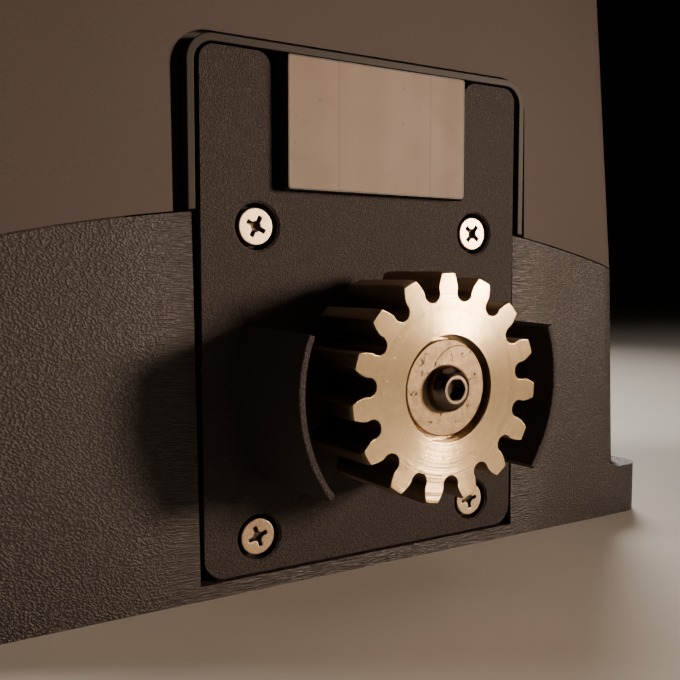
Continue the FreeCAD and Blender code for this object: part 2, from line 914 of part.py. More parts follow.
def involute_outline(teeth, base_radius, tooth_width, tooth_radius, tip_radius, root_radius, phase):
    """Closed gear outline about the origin in (u, v), one tooth centred on the phase angle."""
    half_base_angle = tooth_width / 2 / tooth_radius + involute(base_radius, tooth_radius)
    start_radius = max(base_radius, root_radius + flank_lead * (tip_radius - root_radius))

    def flank_point(radius, side, centre):
        angle = centre + side * (half_base_angle - involute(base_radius, radius))
        return Vector(radius * math.cos(angle), radius * math.sin(angle), 0)

    pieces = []
    step = 2 * math.pi / teeth
    for tooth in range(teeth):
        centre = math.radians(phase) + tooth * step
        radii = [start_radius + (tip_radius - start_radius) * part / 3 for part in range(4)]
        rising = [flank_point(radius, -1, centre) for radius in radii]
        falling = [flank_point(radius, 1, centre) for radius in reversed(radii)]
        crest = Vector(tip_radius * math.cos(centre), tip_radius * math.sin(centre), 0)
        gullet_angle = centre + step / 2
        gullet = Vector(root_radius * math.cos(gullet_angle), root_radius * math.sin(gullet_angle), 0)
        following = flank_point(start_radius, -1, centre + step)
        pieces.append(("curve", rising))
        pieces.append(("arc", [rising[-1], crest, falling[0]]))
        pieces.append(("curve", falling))
        pieces.append(("arc", [falling[-1], gullet, following]))
    return pieces


def outline_wire(pieces, to_space):
    edges = []
    for kind, points in pieces:
        moved = [to_space(point) for point in points]
        if kind == "arc":
            edges.append(Part.Arc(*moved).toShape())
        else:
            curve = Part.BSplineCurve()
            curve.interpolate(moved)
            edges.append(curve.toShape())
    return Part.Wire(edges)


def on_axis(y, turn=0.0):
    """Maps gear outline points to a plane across the pinion axis, turned about +Y."""
    cosine = math.cos(turn)
    sine = math.sin(turn)

    def to_space(point):
        x = point.x * cosine + point.y * sine
        z = -point.x * sine + point.y * cosine
        return Vector(axis_x + x, y, axis_z + z)

    return to_space


def keyway(radius, y0, y1):
    """Cutter for a key lying half in the shaft, at the top of it."""
    half = key_width / 2 + seat_gap
    low = axis_z + radius - key_height / 2
    return box(axis_x - half, axis_x + half, y0, y1, low, low + key_height + 2 * seat_gap)


def key(radius, y0, y1):
    low = axis_z + radius - key_height / 2
    return box(axis_x - key_width / 2, axis_x + key_width / 2, y0, y1, low + seat_gap, low + key_height)


pinion_key_y = pinion_front_y + counterbore_depth + key_lead
wheel_hub_front_y = wheel_y - wheel_face_width / 2 - wheel_hub_reach
wheel_key_y = wheel_hub_front_y + wheel_key_lead


def pinion():
    back = pinion_front_y + pinion_width
    outline = involute_outline(pinion_teeth, pinion_base_radius, pinion_tooth_width, pinion_tooth_radius,
                               pinion_tip_radius, pinion_root_radius, pinion_phase)
    toothed = Part.Face(outline_wire(outline, on_axis(pinion_front_y))).extrude(Vector(0, pinion_width, 0))
    low = pinion_tip_radius - pinion_chamfer
    rim = pinion_tip_radius + pinion_chamfer
    slope = 2 * pinion_chamfer_length
    blank_profile = [(0, 0), (low, 0), (rim, slope), (rim, pinion_width - slope), (low, pinion_width),
                     (0, pinion_width)]
    blank = turned(blank_profile, (axis_x, pinion_front_y, axis_z), (0, 1, 0))
    hub = rod_y(pinion_hub_radius, back, hub_back_y)
    body = toothed.common(blank).fuse(hub)
    body = body.cut(rod_y(stub_radius + seat_gap, pinion_front_y, hub_back_y))
    body = body.cut(rod_y(counterbore_radius, pinion_front_y, pinion_front_y + counterbore_depth))
    return body.cut(keyway(stub_radius, pinion_front_y, hub_back_y)).removeSplitter()


def pinion_washer():
    front = pinion_front_y + counterbore_depth - washer_thickness
    bore = button_screw_radius + hole_clearance
    edge = washer_edge_radius
    profile = [(bore, 0), (washer_radius, 0, edge), (washer_radius, washer_thickness, edge),
               (bore, washer_thickness)]
    return turned(profile, (axis_x, front, axis_z), (0, 1, 0))


def pinion_screw():
    """Button-head screw with a hexagon socket, head towards the front."""
    face = pinion_front_y + counterbore_depth - washer_thickness
    low = Vector(button_head_radius, 0, 0)
    belly = Vector(button_belly_radius, 0, button_belly_height)
    high = Vector(button_head_top_radius, 0, button_head_height)
    dome = Part.Arc(low, belly, high).toShape()
    axis_top = Vector(0, 0, button_head_height)
    foot_point = Vector(0, 0, -button_screw_length)
    tip = Vector(button_screw_radius, 0, -button_screw_length)
    neck = Vector(button_screw_radius, 0, 0)
    edges = [dome, Part.makeLine(high, axis_top), Part.makeLine(axis_top, foot_point),
             Part.makeLine(foot_point, tip), Part.makeLine(tip, neck), Part.makeLine(neck, low)]
    body = Part.Face(Part.Wire(edges)).revolve(Vector(0, 0, 0), Vector(0, 0, 1), 360)
    socket = hex_prism(hex_socket_width, hex_socket_depth + over)
    socket.translate(Vector(0, 0, button_head_height - hex_socket_depth))
    return placed(body.cut(socket), (axis_x, face, axis_z), (0, -1, 0))


def output_shaft():
    front = pinion_front_y + counterbore_depth + stub_gap
    bearing_bore = output_bearing[0]
    end = rear_bearing_y + output_bearing[2] + rear_cap_gap
    shoulder_start = front_bearing_y + output_bearing[2]
    groove = rear_bearing_y + output_bearing[2] + circlip_groove_gap
    body = join([
        rod_y(stub_radius, front, hub_back_y),
        rod_y(bearing_bore, hub_back_y, end),
        rod_y(shoulder_radius, shoulder_start, wheel_hub_front_y),
    ])
    tapped = rod_y(button_screw_radius + seat_gap, front, front + button_screw_length)
    ring = rod_y(bearing_bore + over, groove, groove + circlip_thickness)
    ring = ring.cut(rod_y(bearing_bore - circlip_groove_depth, groove, groove + circlip_thickness))
    body = body.cut(tapped).cut(ring)
    body = body.cut(keyway(stub_radius, pinion_key_y, pinion_key_y + key_length))
    return body.cut(keyway(bearing_bore, wheel_key_y, wheel_key_y + wheel_key_length))


def shaft_circlip():
    start = rear_bearing_y + output_bearing[2] + circlip_groove_gap + seat_gap
    width = circlip_thickness - 2 * seat_gap
    inner = output_bearing[0] - circlip_groove_depth + seat_gap
    body = rod_y(circlip_radius, start, start + width).cut(rod_y(inner, start, start + width))
    half = circlip_mouth / 2
    mouth = box(axis_x - half, axis_x + half, start, start + width, axis_z, axis_z + 2 * circlip_radius)
    return body.cut(mouth)


def ball_bearing(sizes, at, direction):
    """Outer ring with its two shields, and the inner ring, from one face along a direction."""
    bore, outer, width = sizes
    depth = outer - bore
    inner_land = bore + bearing_inner_share * depth
    outer_land = outer - bearing_outer_share * depth
    shield = bearing_shield
    outer_profile = [
        (inner_land + moving_gap, 0), (outer, 0), (outer, width), (inner_land + moving_gap, width),
        (inner_land + moving_gap, width - shield), (outer_land, width - shield),
        (outer_land, shield), (inner_land + moving_gap, shield),
    ]
    inner_profile = [(bore + seat_gap, 0), (inner_land, 0), (inner_land, width), (bore + seat_gap, width)]
    return turned(outer_profile, at, direction), turned(inner_profile, at, direction)


def shaft_seal():
    """Lip seal in the lid's collar, its lip just clear of the shaft."""
    lip = output_bearing[0] + running_gap
    root = lip + seal_lip_width
    shell = seal_radius - seal_wall
    profile = [
        (root + seal_inset, 0), (seal_radius, 0), (seal_radius, seal_width), (shell, seal_width),
        (shell, seal_wall), (root, seal_wall), (lip, seal_lip_depth), (lip, seal_lip_depth - seal_lip_width),
    ]
    return turned(profile, (axis_x, shaft_seal_y, axis_z), (0, 1, 0))


# Front plate and limit sensor

def guard(side):
    """Curved finger guard beside the pinion, drafted towards its root."""
    root_y = plate_y + plate_thickness / 2
    front = plate_y - guard_reach
    reach = root_y - front
    profile = [
        (guard_front_radius - guard_front_thickness, 0, guard_edge_radius),
        (guard_front_radius, 0, guard_edge_radius),
        (guard_root_radius, reach),
        (guard_root_radius - guard_root_thickness, reach),
    ]
    ring = turned(profile, (axis_x, front, axis_z), (0, 1, 0))
    far = 2 * guard_root_radius
    rise = far * math.tan(math.radians(guard_top_angle))
    drop = far * math.tan(math.radians(guard_bottom_angle))
    wedge = [(axis_x, axis_z), (axis_x + side * far, axis_z - drop), (axis_x + side * far, axis_z + rise)]
    return ring.common(prism_y(wedge, front - over, root_y + over))


def plate_screw_points():
    return [
        (axis_x + side * plate_screw_x, axis_z + end * plate_screw_z)
        for side in (-1, 1)
        for end in (-1, 1)
    ]


def front_plate():
    left = axis_x - plate_half_width
    right = axis_x + plate_half_width
    top = axis_z + plate_top
    low = axis_z + plate_bottom
    notch = axis_z + notch_bottom
    outline = [
        (left, low, plate_foot_radius),
        (right, low, plate_foot_radius),
        (right, top, plate_ear_radius),
        (axis_x + notch_half_width, top, plate_ear_radius),
        (axis_x + notch_half_width, notch, notch_corner_radius),
        (axis_x - notch_half_width, notch, notch_corner_radius),
        (axis_x - notch_half_width, top, plate_ear_radius),
        (left, top, plate_ear_radius),
    ]
    body = prism_y(outline, plate_y, plate_back_y)
    pocket_top = axis_z - plate_opening_radius - plate_pocket_gap
    pocket = rectangle(axis_x - plate_pocket_half_width, axis_x + plate_pocket_half_width,
                       low + plate_pocket_rise, pocket_top, plate_pocket_radius)
    body = body.cut(prism_y(pocket, plate_back_y - plate_pocket_depth, plate_back_y + over))
    body = body.multiFuse([guard(1), guard(-1)])
    body = body.cut(rod_y(plate_opening_radius, plate_y - over, plate_back_y + over))
    seat_depth = plate_screw_sink + plate_screw_head_height
    for x, z in plate_screw_points():
        body = body.cut(rod_y(plate_screw_radius + hole_clearance, plate_y, plate_back_y + over, x, z))
        edge = plate_counterbore_radius + plate_counterbore_edge
        profile = [(0, -1), (edge + over, -1), (edge, 0), (plate_counterbore_radius, plate_counterbore_edge),
                   (plate_counterbore_radius, seat_depth), (0, seat_depth)]
        body = body.cut(turned(profile, (x, plate_y, z), (0, 1, 0)))
    return body.removeSplitter()


def plate_screws():
    screw = flat_head_screw(plate_screw_head_radius, plate_screw_head_height, plate_screw_radius,
                            plate_screw_depth)
    seat = plate_y + plate_screw_sink + plate_screw_head_height
    screws = []
    for index, (x, z) in enumerate(plate_screw_points()):
        turned_screw = screw.copy()
        turned_screw.rotate(Vector(0, 0, 0), Vector(0, 0, 1), plate_screw_turns[index])
        holder = Part.Compound([turned_screw])
        holder.Placement = Placement(Vector(x, seat, z), Rotation(Vector(0, 0, 1), Vector(0, -1, 0)))
        screws += holder.Solids
    return Part.Compound(screws)


def sensor_case():
    left = axis_x - sensor_half_width
    right = axis_x + sensor_half_width
    low = axis_z + sensor_bottom
    top = axis_z + sensor_top
    front = plate_y - sensor_proud
    block = prism_y(rectangle(left, right, low, top, sensor_corner_radius), front, plate_y + sensor_back)
    flange_half = notch_half_width + sensor_flange_overlap
    flange_outline = rectangle(axis_x - flange_half, axis_x + flange_half, low + sensor_flange_inset,
                               top - sensor_flange_inset, sensor_flange_radius)
    flange = prism_y(flange_outline, plate_back_y, plate_back_y + sensor_flange_thickness)
    window = rectangle(left + sensor_face_inset, right - sensor_face_inset, low + sensor_face_inset,
                       top - sensor_face_inset, sensor_corner_radius)
    recess = prism_y(window, front - over, front + sensor_face_thickness)
    return block.fuse(flange).cut(recess).removeSplitter()


def sensor_face():
    inset = sensor_face_inset + seat_gap
    face = rectangle(axis_x - sensor_half_width + inset, axis_x + sensor_half_width - inset,
                     axis_z + sensor_bottom + inset, axis_z + sensor_top - inset, sensor_corner_radius)
    front = plate_y - sensor_proud
    return prism_y(face, front, front + sensor_face_thickness)


# Gearbox

def lid_screw_points():
    points = []
    for angle in lid_screw_angles:
        turn = math.radians(angle)
        across = lid_screw_circle * math.cos(turn)
        up = lid_screw_circle * math.sin(turn)
        points.append((axis_x + across, axis_z + up))
    return points


def gearbox_screw_points():
    inset = gearbox_screw_inset
    xs = (-gearbox_foot_left + inset, gearbox_foot_right - inset)
    ys = (gearbox_foot_front + inset, gearbox_foot_back - inset)
    return [(x, y) for x in xs for y in ys]


def gearbox_lid():
    half_x = plate_screw_x + lid_margin_x
    half_z = plate_screw_z + lid_margin_z
    low = max(axis_z - half_z, floor_thickness + over)
    outline = rectangle(axis_x - half_x, axis_x + half_x, low, axis_z + half_z, lid_corner_radius)
    parts = [prism_y(outline, plate_back_y, lid_back_y)]
    parts += [rod_y(lid_boss_radius, plate_back_y, lid_back_y, x, z) for x, z in lid_screw_points()]
    parts.append(rod_y(output_bearing[1] + lid_hub_wall, plate_back_y, front_bearing_y + output_bearing[2]))
    parts.append(rod_y(seal_radius + lid_collar_wall, plate_y + lid_collar_inset, plate_back_y))
    for x, z in plate_screw_points():
        parts.append(rod_y(lid_plate_boss_radius, lid_back_y, lid_back_y + lid_plate_boss_length, x, z))
    body = join(parts)
    body = body.cut(rod_y(seal_radius + seat_gap, plate_y, shaft_seal_y + seal_width))
    body = body.cut(rod_y(output_bearing[0] + lid_shaft_gap, plate_y, front_bearing_y))
    body = body.cut(rod_y(output_bearing[1] + seat_gap, front_bearing_y, front_bearing_y + output_bearing[2]))
    for x, z in lid_screw_points():
        body = body.cut(rod_y(lid_screw_radius + hole_clearance, plate_y, lid_back_y, x, z))
        body = body.cut(rod_y(lid_boss_radius - lid_boss_wall, plate_y, lid_screw_seat_y, x, z))
    hole_end = plate_y + plate_screw_sink + plate_screw_head_height + plate_screw_depth + over
    for x, z in plate_screw_points():
        body = body.cut(rod_y(plate_screw_radius + seat_gap, plate_y, hole_end, x, z))
    return body


def lid_screws():
    screw = hex_head_bolt(lid_hex_head, lid_screw_radius, lid_screw_length)
    spots = [(x, lid_screw_seat_y, z) for x, z in lid_screw_points()]
    return Part.Compound([placed(screw, spot, (0, -1, 0)) for spot in spots])


def gearbox_housing():
    drum = rod_y(drum_radius, lid_back_y, drum_back_y)
    foot_top = floor_thickness + gearbox_foot_thickness
    foot_plan = rectangle(-gearbox_foot_left, gearbox_foot_right, gearbox_foot_front, gearbox_foot_back,
                          gearbox_foot_radius)
    parts = [drum, prism_z(foot_plan, floor_thickness, foot_top)]
    half_low = drum_radius - pedestal_inset_low
    half_high = drum_radius - pedestal_inset_high
    pedestal_top = axis_z - pedestal_drop
    pedestal = [(axis_x - half_low, foot_top - over), (axis_x + half_low, foot_top - over),
                (axis_x + half_high, pedestal_top), (axis_x - half_high, pedestal_top)]
    parts.append(prism_y(pedestal, gearbox_foot_front, gearbox_foot_back))
    parts.append(rod_z(worm_tube_radius, floor_thickness, motor_z))
    parts.append(rod_z(motor_flange_radius, motor_z - motor_flange_thickness, motor_z))
    for x, z in lid_screw_points():
        parts.append(rod_y(lid_boss_radius, lid_back_y, lid_back_y + lid_boss_length, x, z))
    flange_low = motor_z - motor_flange_thickness
    rib_low = flange_low - flange_rib_drop
    rib = [(worm_x - motor_flange_radius + flange_rib_inset, flange_low + over),
           (worm_x - worm_tube_radius + flange_rib_root, rib_low), (worm_x, rib_low),
           (worm_x, flange_low + over)]
    parts.append(prism_y(rib, wheel_y - flange_rib_half, wheel_y + flange_rib_half))
    parts.append(release_boss())
    body = join(parts)
    body = body.cut(box(-base_width, base_width, -housing_depth, lid_back_y, 0, housing_height))
    body = body.cut(rod_y(drum_cavity_radius, lid_back_y, rear_bearing_y - bearing_shoulder))
    rear_seat = output_bearing[1] + seat_gap
    rear_start = rear_bearing_y - bearing_shoulder
    body = body.cut(rod_y(rear_seat, rear_start - over, rear_bearing_y + output_bearing[2]))
    cap_y = drum_back_y - rear_cap_thickness + over
    body = body.cut(rod_y(circlip_radius + bearing_shoulder, rear_bearing_y, cap_y))
    low_bore = worm_lower_bearing[1] + seat_gap
    body = body.cut(rod_z(low_bore, lower_bearing_z, lower_bearing_z + worm_lower_bearing[2] + over))
    body = body.cut(rod_z(worm_cavity_radius, lower_bearing_z + worm_lower_bearing[2], middle_bearing_z))
    body = body.cut(rod_z(worm_middle_bearing[1] + seat_gap, middle_bearing_z, motor_z + over))
    tapped_end = lid_screw_seat_y + lid_screw_length + over
    for x, z in lid_screw_points():
        body = body.cut(rod_y(lid_screw_radius + seat_gap, lid_back_y, tapped_end, x, z))
    for x, z in plate_screw_points():
        room = lid_plate_boss_radius + lid_boss_clearance
        body = body.cut(rod_y(room, lid_back_y, lid_back_y + lid_plate_boss_length + over, x, z))
    foot_hole = gearbox_screw_radius + hole_clearance
    for x, y in gearbox_screw_points():
        body = body.cut(rod_z(foot_hole, floor_thickness - over, foot_top + over, x, y))
    bolt_end = motor_z - motor_bolt_grip - over
    for x, y in motor_lug_points():
        body = body.cut(rod_z(motor_bolt_radius + seat_gap, bolt_end, motor_z + over, x, y))
    rod_bore = release_rod_radius + running_gap
    return body.cut(rod_x(rod_bore, -base_width, release_bore_x, release_y, release_z))


release_bore_x = worm_x - worm_tube_radius - release_bore_wall
release_boss_x = release_bore_x - release_boss_length


def release_boss():
    root_x = worm_x - worm_cavity_radius - release_boss_root
    return rod_x(release_boss_radius, release_boss_x, root_x, release_y, release_z)


def gearbox_screws():
    screw = hex_head_bolt(gearbox_hex_head, gearbox_screw_radius, gearbox_foot_thickness + floor_screw_depth)
    top = floor_thickness + gearbox_foot_thickness
    return Part.Compound([placed(screw, (x, y, top), (0, 0, 1)) for x, y in gearbox_screw_points()])


# Worm gear pair

def worm_wheel():
    """Helical bronze wheel whose gap faces the worm at mid height."""
    lead_angle = math.atan(worm_module / (2 * worm_pitch_radius))
    wheel_root_radius = wheel_pitch_radius - 1.25 * worm_module
    base_radius = wheel_pitch_radius * math.cos(math.radians(pressure_angle))
    outline = involute_outline(wheel_teeth, base_radius, worm_pitch / 2 - tooth_thinning, wheel_pitch_radius,
                               wheel_tip_radius, wheel_root_radius, 180.0 + 180.0 / wheel_teeth)
    half = wheel_face_width / 2
    twist = half * math.tan(lead_angle) / wheel_pitch_radius
    wires = [
        outline_wire(outline, on_axis(wheel_y - half, -twist)),
        outline_wire(outline, on_axis(wheel_y + half, twist)),
    ]
    rim = Part.makeLoft(wires, True, True)
    web_half = wheel_web_thickness / 2
    rim_inner = wheel_root_radius - wheel_rim_thickness
    for start, end in ((wheel_y - half, wheel_y - web_half), (wheel_y + web_half, wheel_y + half)):
        rim = rim.cut(rod_y(rim_inner, start, end))
    hub = rod_y(wheel_hub_radius, wheel_hub_front_y, rear_bearing_y)
    body = join([rim, hub])
    body = body.cut(rod_y(output_bearing[0] + seat_gap, wheel_hub_front_y, rear_bearing_y))
    middle = (wheel_hub_radius + rim_inner) / 2
    for index in range(wheel_hole_count):
        turn = 2 * math.pi * index / wheel_hole_count
        hole = rod_y(wheel_hole_radius, wheel_y - half, wheel_y + half, axis_x + middle * math.cos(turn),
                     axis_z + middle * math.sin(turn))
        body = body.cut(hole)
    return body.cut(keyway(output_bearing[0], wheel_hub_front_y, rear_bearing_y))


def worm_thread():
    """One start of thread, a tooth centred on the wheel's mid height on the wheel's side."""
    slope = math.tan(math.radians(pressure_angle))
    half_pitch = (worm_pitch / 2 - tooth_thinning) / 2
    inner = worm_root_radius - thread_overlap
    half_inner = half_pitch + (worm_pitch_radius - inner) * slope
    half_outer = half_pitch - (worm_tip_radius - worm_pitch_radius) * slope
    turns = math.ceil(worm_length / worm_pitch / 2) + 1
    start = axis_z - turns * worm_pitch
    helix = Part.makeHelix(worm_pitch, 2 * turns * worm_pitch, worm_pitch_radius)
    helix.translate(Vector(worm_x, wheel_y, start))
    corners = [
        Vector(worm_x + inner, wheel_y, start - half_inner),
        Vector(worm_x + worm_tip_radius, wheel_y, start - half_outer),
        Vector(worm_x + worm_tip_radius, wheel_y, start + half_outer),
        Vector(worm_x + inner, wheel_y, start + half_inner),
    ]
    profile = Part.makePolygon(corners + corners[:1])
    thread = Part.Wire(helix.Edges).makePipeShell([profile], True, True)
    return thread.common(rod_z(worm_tip_radius + over, axis_z - worm_length / 2, axis_z + worm_length / 2))


def worm_shaft():
    lower = worm_lower_bearing[0]
    middle = worm_middle_bearing[0]
    half = worm_length / 2
    top = upper_bearing_z + worm_lower_bearing[2]
    core = join([
        rod_z(lower, lower_bearing_z + over, axis_z - half),
        rod_z(lower + shaft_step, lower_bearing_z + worm_lower_bearing[2], axis_z - half),
        rod_z(worm_root_radius, axis_z - half, axis_z + half),
        rod_z(middle + shaft_step, axis_z + half, middle_bearing_z),
        rod_z(middle, middle_bearing_z, stack_z + stack_height + rotor_ring_height),
        rod_z(lower, stack_z + stack_height + rotor_ring_height, top),
    ])
    return core.fuse(worm_thread())


# Motor

def rotor_core():
    parts = [
        rod_z(rotor_radius, stack_z, stack_z + stack_height),
        rod_z(rotor_ring_radius, stack_z - rotor_ring_height, stack_z + stack_height + rotor_ring_height),
    ]
    bore = rod_z(worm_middle_bearing[0] + seat_gap, stack_z - far_over, stack_z + stack_height + far_over)
    return join(parts).cut(bore)


def stator_core():
    outer = rod_z(motor_bore - seat_gap, stack_z, stack_z + stack_height)
    return outer.cut(rod_z(rotor_radius + air_gap, stack_z - over, stack_z + stack_height + over))


def stator_windings():
    """The end turns above and below the stack."""
    rings = []
    for low in (stack_z - winding_height, stack_z + stack_height):
        profile = rectangle(winding_inner, winding_outer, 0, winding_height, winding_edge_radius)
        rings.append(turned(profile, (worm_x, wheel_y, low), (0, 0, 1)))
    return Part.Compound(rings)


def motor_lug_points():
    points = []
    for quarter in range(4):
        angle = math.radians(motor_lug_angle) + quarter * math.pi / 2
        across = motor_lug_circle * math.cos(angle)
        along = motor_lug_circle * math.sin(angle)
        points.append((worm_x + across, wheel_y + along))
    return points


def motor_frame():
    """Finned tube with a floor, and four lugs for the through bolts."""
    outer = motor_bore + motor_frame_wall
    parts = [rod_z(outer, motor_z, frame_top_z)]
    parts.append(rod_z(motor_fin_radius, motor_z, motor_z + motor_end_thickness))
    for x, y in motor_lug_points():
        parts.append(rod_z(motor_lug_radius, motor_z, frame_top_z, x, y))
    for index in range(motor_fin_count):
        half = motor_fin_thickness / 2
        fin = box(outer - over, motor_fin_radius, -half, half, motor_z, frame_top_z - motor_fin_top_gap)
        fin.rotate(Vector(0, 0, 0), Vector(0, 0, 1), 360 * index / motor_fin_count)
        fin.translate(Vector(worm_x, wheel_y, 0))
        parts.append(fin)
    body = join(parts)
    body = body.cut(rod_z(motor_bore, motor_z + motor_end_thickness, frame_top_z))
    floor_hole = worm_middle_bearing[0] + motor_floor_gap
    body = body.cut(rod_z(floor_hole, motor_z - over, motor_z + motor_end_thickness + over))
    for x, y in motor_lug_points():
        body = body.cut(rod_z(motor_bolt_radius + hole_clearance, motor_z - over, frame_top_z + over, x, y))
    return body


def motor_end_cap():
    outer = motor_bore + motor_frame_wall
    profile = [(0, 0), (outer, 0), (outer, end_cap_waist, end_cap_edge_radius),
               (end_cap_top_radius, end_cap_height, end_cap_crown_radius), (0, end_cap_height)]
    dome = turned(profile, (worm_x, wheel_y, frame_top_z), (0, 0, 1))
    lug_top = frame_top_z + end_lug_height
    parts = [dome] + [rod_z(motor_lug_radius, frame_top_z, lug_top, x, y) for x, y in motor_lug_points()]
    body = join(parts)
    for x, y in motor_lug_points():
        body = body.cut(rod_z(motor_bolt_radius + hole_clearance, frame_top_z - over, lug_top + over, x, y))
        body = body.cut(rod_z(motor_lug_radius - motor_lug_trim, lug_top, lug_top + end_cap_height, x, y))
    pocket = worm_lower_bearing[1] + seat_gap
    body = body.cut(rod_z(pocket, frame_top_z - over, upper_bearing_z + worm_lower_bearing[2]))
    return body.cut(rod_z(winding_outer + over, frame_top_z - over, frame_top_z + winding_room))


def motor_bolts():
    lug_top = frame_top_z + end_lug_height
    length = lug_top - motor_z + motor_bolt_grip
    bolt = hex_head_bolt(motor_hex_head, motor_bolt_radius, length)
    return Part.Compound([placed(bolt, (x, y, lug_top), (0, 0, 1)) for x, y in motor_lug_points()])


# Manual release

def release_lever():
    """Handle with an eccentric boss round its pin, lying in the pocket."""
    z0 = release_z - lever_height / 2
    z1 = release_z + lever_height / 2
    end_y = release_y + lever_length
    inner_x = lever_outer_x + lever_thickness
    boss_x = lever_pin_x - lever_throw
    web_x = lever_outer_x + lever_web
    grip_y = end_y - lever_grip_length
    grip = [(lever_outer_x, release_y), (web_x, release_y), (web_x, grip_y - lever_grip_slope),
            (inner_x, grip_y), (inner_x, end_y - lever_grip_slope, lever_inner_radius),
            (lever_outer_x, end_y, lever_outer_radius)]
    parts = [prism_z(grip, z0, z1), rod_z(lever_boss_radius, z0, z1, boss_x, release_y)]
    body = join(parts)
    body = body.cut(rod_z(lever_pin_radius + running_gap, z0 - over, z1 + over, lever_pin_x, release_y))
    body = body.cut(rod_x(lock_radius + running_gap, lever_outer_x - over, inner_x + over, lock_y, release_z))
    recess_floor = lever_outer_x + lock_flange_height + moving_gap
    recess_radius = lock_flange_radius + moving_gap
    return body.cut(rod_x(recess_radius, lever_outer_x - over, recess_floor, lock_y, release_z))


def lock_cylinder():
    inner_x = lever_outer_x + lever_thickness
    barrel = rod_x(lock_radius, lever_outer_x, inner_x, lock_y, release_z)
    flange = rod_x(lock_flange_radius, lever_outer_x, lever_outer_x + lock_flange_height, lock_y, release_z)
    half = lock_slot_width / 2
    reach = lock_slot_length / 2
    key_slot = box(lever_outer_x - over, lever_outer_x + lock_slot_depth, lock_y - half, lock_y + half,
                   release_z - reach, release_z + reach)
    return barrel.fuse(flange).removeSplitter().cut(key_slot)


def lever_pin():
    _, _, z0, z1 = lever_pocket()
    return rod_z(lever_pin_radius, z0 - tray_wall, z1 + tray_wall, lever_pin_x, release_y)


def release_rod():
    start = lever_pin_x - lever_throw + lever_boss_radius + moving_gap
    end = release_bore_x - lever_throw - release_bore_end + over
    body = rod_x(release_rod_radius, start, end, release_y, release_z)
    return body.makeChamfer(release_rod_chamfer, body.Edges[:1])


# Electrical parts

def board_spots():
    """Screw places on the board and its carrier."""
    inset = board_margin + board_screw_inset
    return [(x, z) for x in (carrier_left + inset, carrier_right - inset)
            for z in (carrier_bottom + inset, carrier_top - inset)]


board_back_y = carrier_y - carrier_thickness - board_standoff
board_front_y = board_back_y - board_thickness


def carrier_foot_points():
    middle = carrier_y + carrier_leg_depth / 2
    return [(carrier_leg_left + carrier_foot_inset, middle), (carrier_right - carrier_foot_inset, middle)]


def board_carrier():
    """Moulded tray on one leg, with a stiff edge and four standoffs."""
    front = carrier_y - carrier_thickness
    outline = rectangle(carrier_left, carrier_right, carrier_bottom, carrier_top, carrier_corner_radius)
    panel = prism_y(outline, front, carrier_y)
    wall = carrier_rim_wall
    hollow = rectangle(carrier_left + wall, carrier_right - wall, carrier_bottom + wall, carrier_top - wall,
                       carrier_corner_radius - wall)
    rim = prism_y(outline, carrier_y, carrier_y + carrier_rim_height)
    rim = rim.cut(prism_y(hollow, carrier_y - over, carrier_y + carrier_rim_height + over))
    leg_low = floor_thickness + carrier_pad_thickness
    leg_top = carrier_bottom + carrier_leg_overlap
    leg = box(carrier_leg_left, carrier_right, front, carrier_y, floor_thickness, leg_top)
    leg_back = carrier_y + carrier_leg_depth
    cheeks = [
        box(x, x + wall, front, leg_back, floor_thickness, carrier_bottom)
        for x in (carrier_leg_left, carrier_right - wall)
    ]
    pad = box(carrier_leg_left, carrier_right, front, leg_back, floor_thickness, leg_low)
    parts = [panel, rim, leg, pad] + cheeks
    parts += [rod_y(standoff_radius, board_back_y, carrier_y, x, z) for x, z in board_spots()]
    body = join(parts)
    for x, z in board_spots():
        hole_end = board_back_y + board_screw_depth + over
        body = body.cut(rod_y(board_screw_radius + seat_gap, board_back_y - over, hole_end, x, z))
    foot_hole = small_screw_radius + hole_clearance
    for x, y in carrier_foot_points():
        body = body.cut(rod_z(foot_hole, floor_thickness - over, leg_low + over, x, y))
    return body


def control_board():
    m = board_margin
    outline = rectangle(carrier_left + m, carrier_right - m, carrier_bottom + m, carrier_top - m,
                        board_corner_radius)
    body = prism_y(outline, board_front_y, board_back_y)
    hole = board_screw_radius + hole_clearance
    for x, z in board_spots():
        body = body.cut(rod_y(hole, board_front_y - over, board_back_y + over, x, z))
    return body


def board_screws():
    screw = flat_head_screw(board_screw_head_radius, board_screw_head_height, board_screw_radius,
                            board_thickness + board_screw_depth)
    return Part.Compound([placed(screw, (x, board_front_y, z), (0, -1, 0)) for x, z in board_spots()])


def carrier_screws():
    screw = hex_head_bolt(small_hex_head, small_screw_radius, carrier_pad_thickness + floor_screw_depth)
    top = floor_thickness + carrier_pad_thickness
    return Part.Compound([placed(screw, (x, y, top), (0, 0, 1)) for x, y in carrier_foot_points()])


def relays():
    width, height, depth = relay_size
    cases = []
    for index in range(relay_count):
        x0 = carrier_left + board_margin + relay_place[0] + index * (width + relay_gap)
        z0 = carrier_bottom + board_margin + relay_place[1]
        outline = rectangle(x0, x0 + width, z0, z0 + height, relay_edge_radius)
        cases.append(prism_y(outline, board_front_y - depth, board_front_y))
    return Part.Compound(cases)


def terminal_blocks():
    """Two rows of screw terminals along the board's lower edge and its top."""
    rows = []
    width = terminal_ways * terminal_pitch
    x0 = (carrier_left + carrier_right - width) / 2
    inset = board_margin + terminal_inset
    front = board_front_y - terminal_depth
    for z0 in (carrier_bottom + inset, carrier_top - inset - terminal_height):
        row = box(x0, x0 + width, front, board_front_y, z0, z0 + terminal_height)
        wells = []
        for way in range(terminal_ways):
            x = x0 + (way + 0.5) * terminal_pitch
            wells.append(rod_y(terminal_well_radius, front - over, front + terminal_well_depth, x,
                               z0 + terminal_height / 2))
        rows.append(row.cut(wells[0].multiFuse(wells[1:])))
    return Part.Compound(rows)


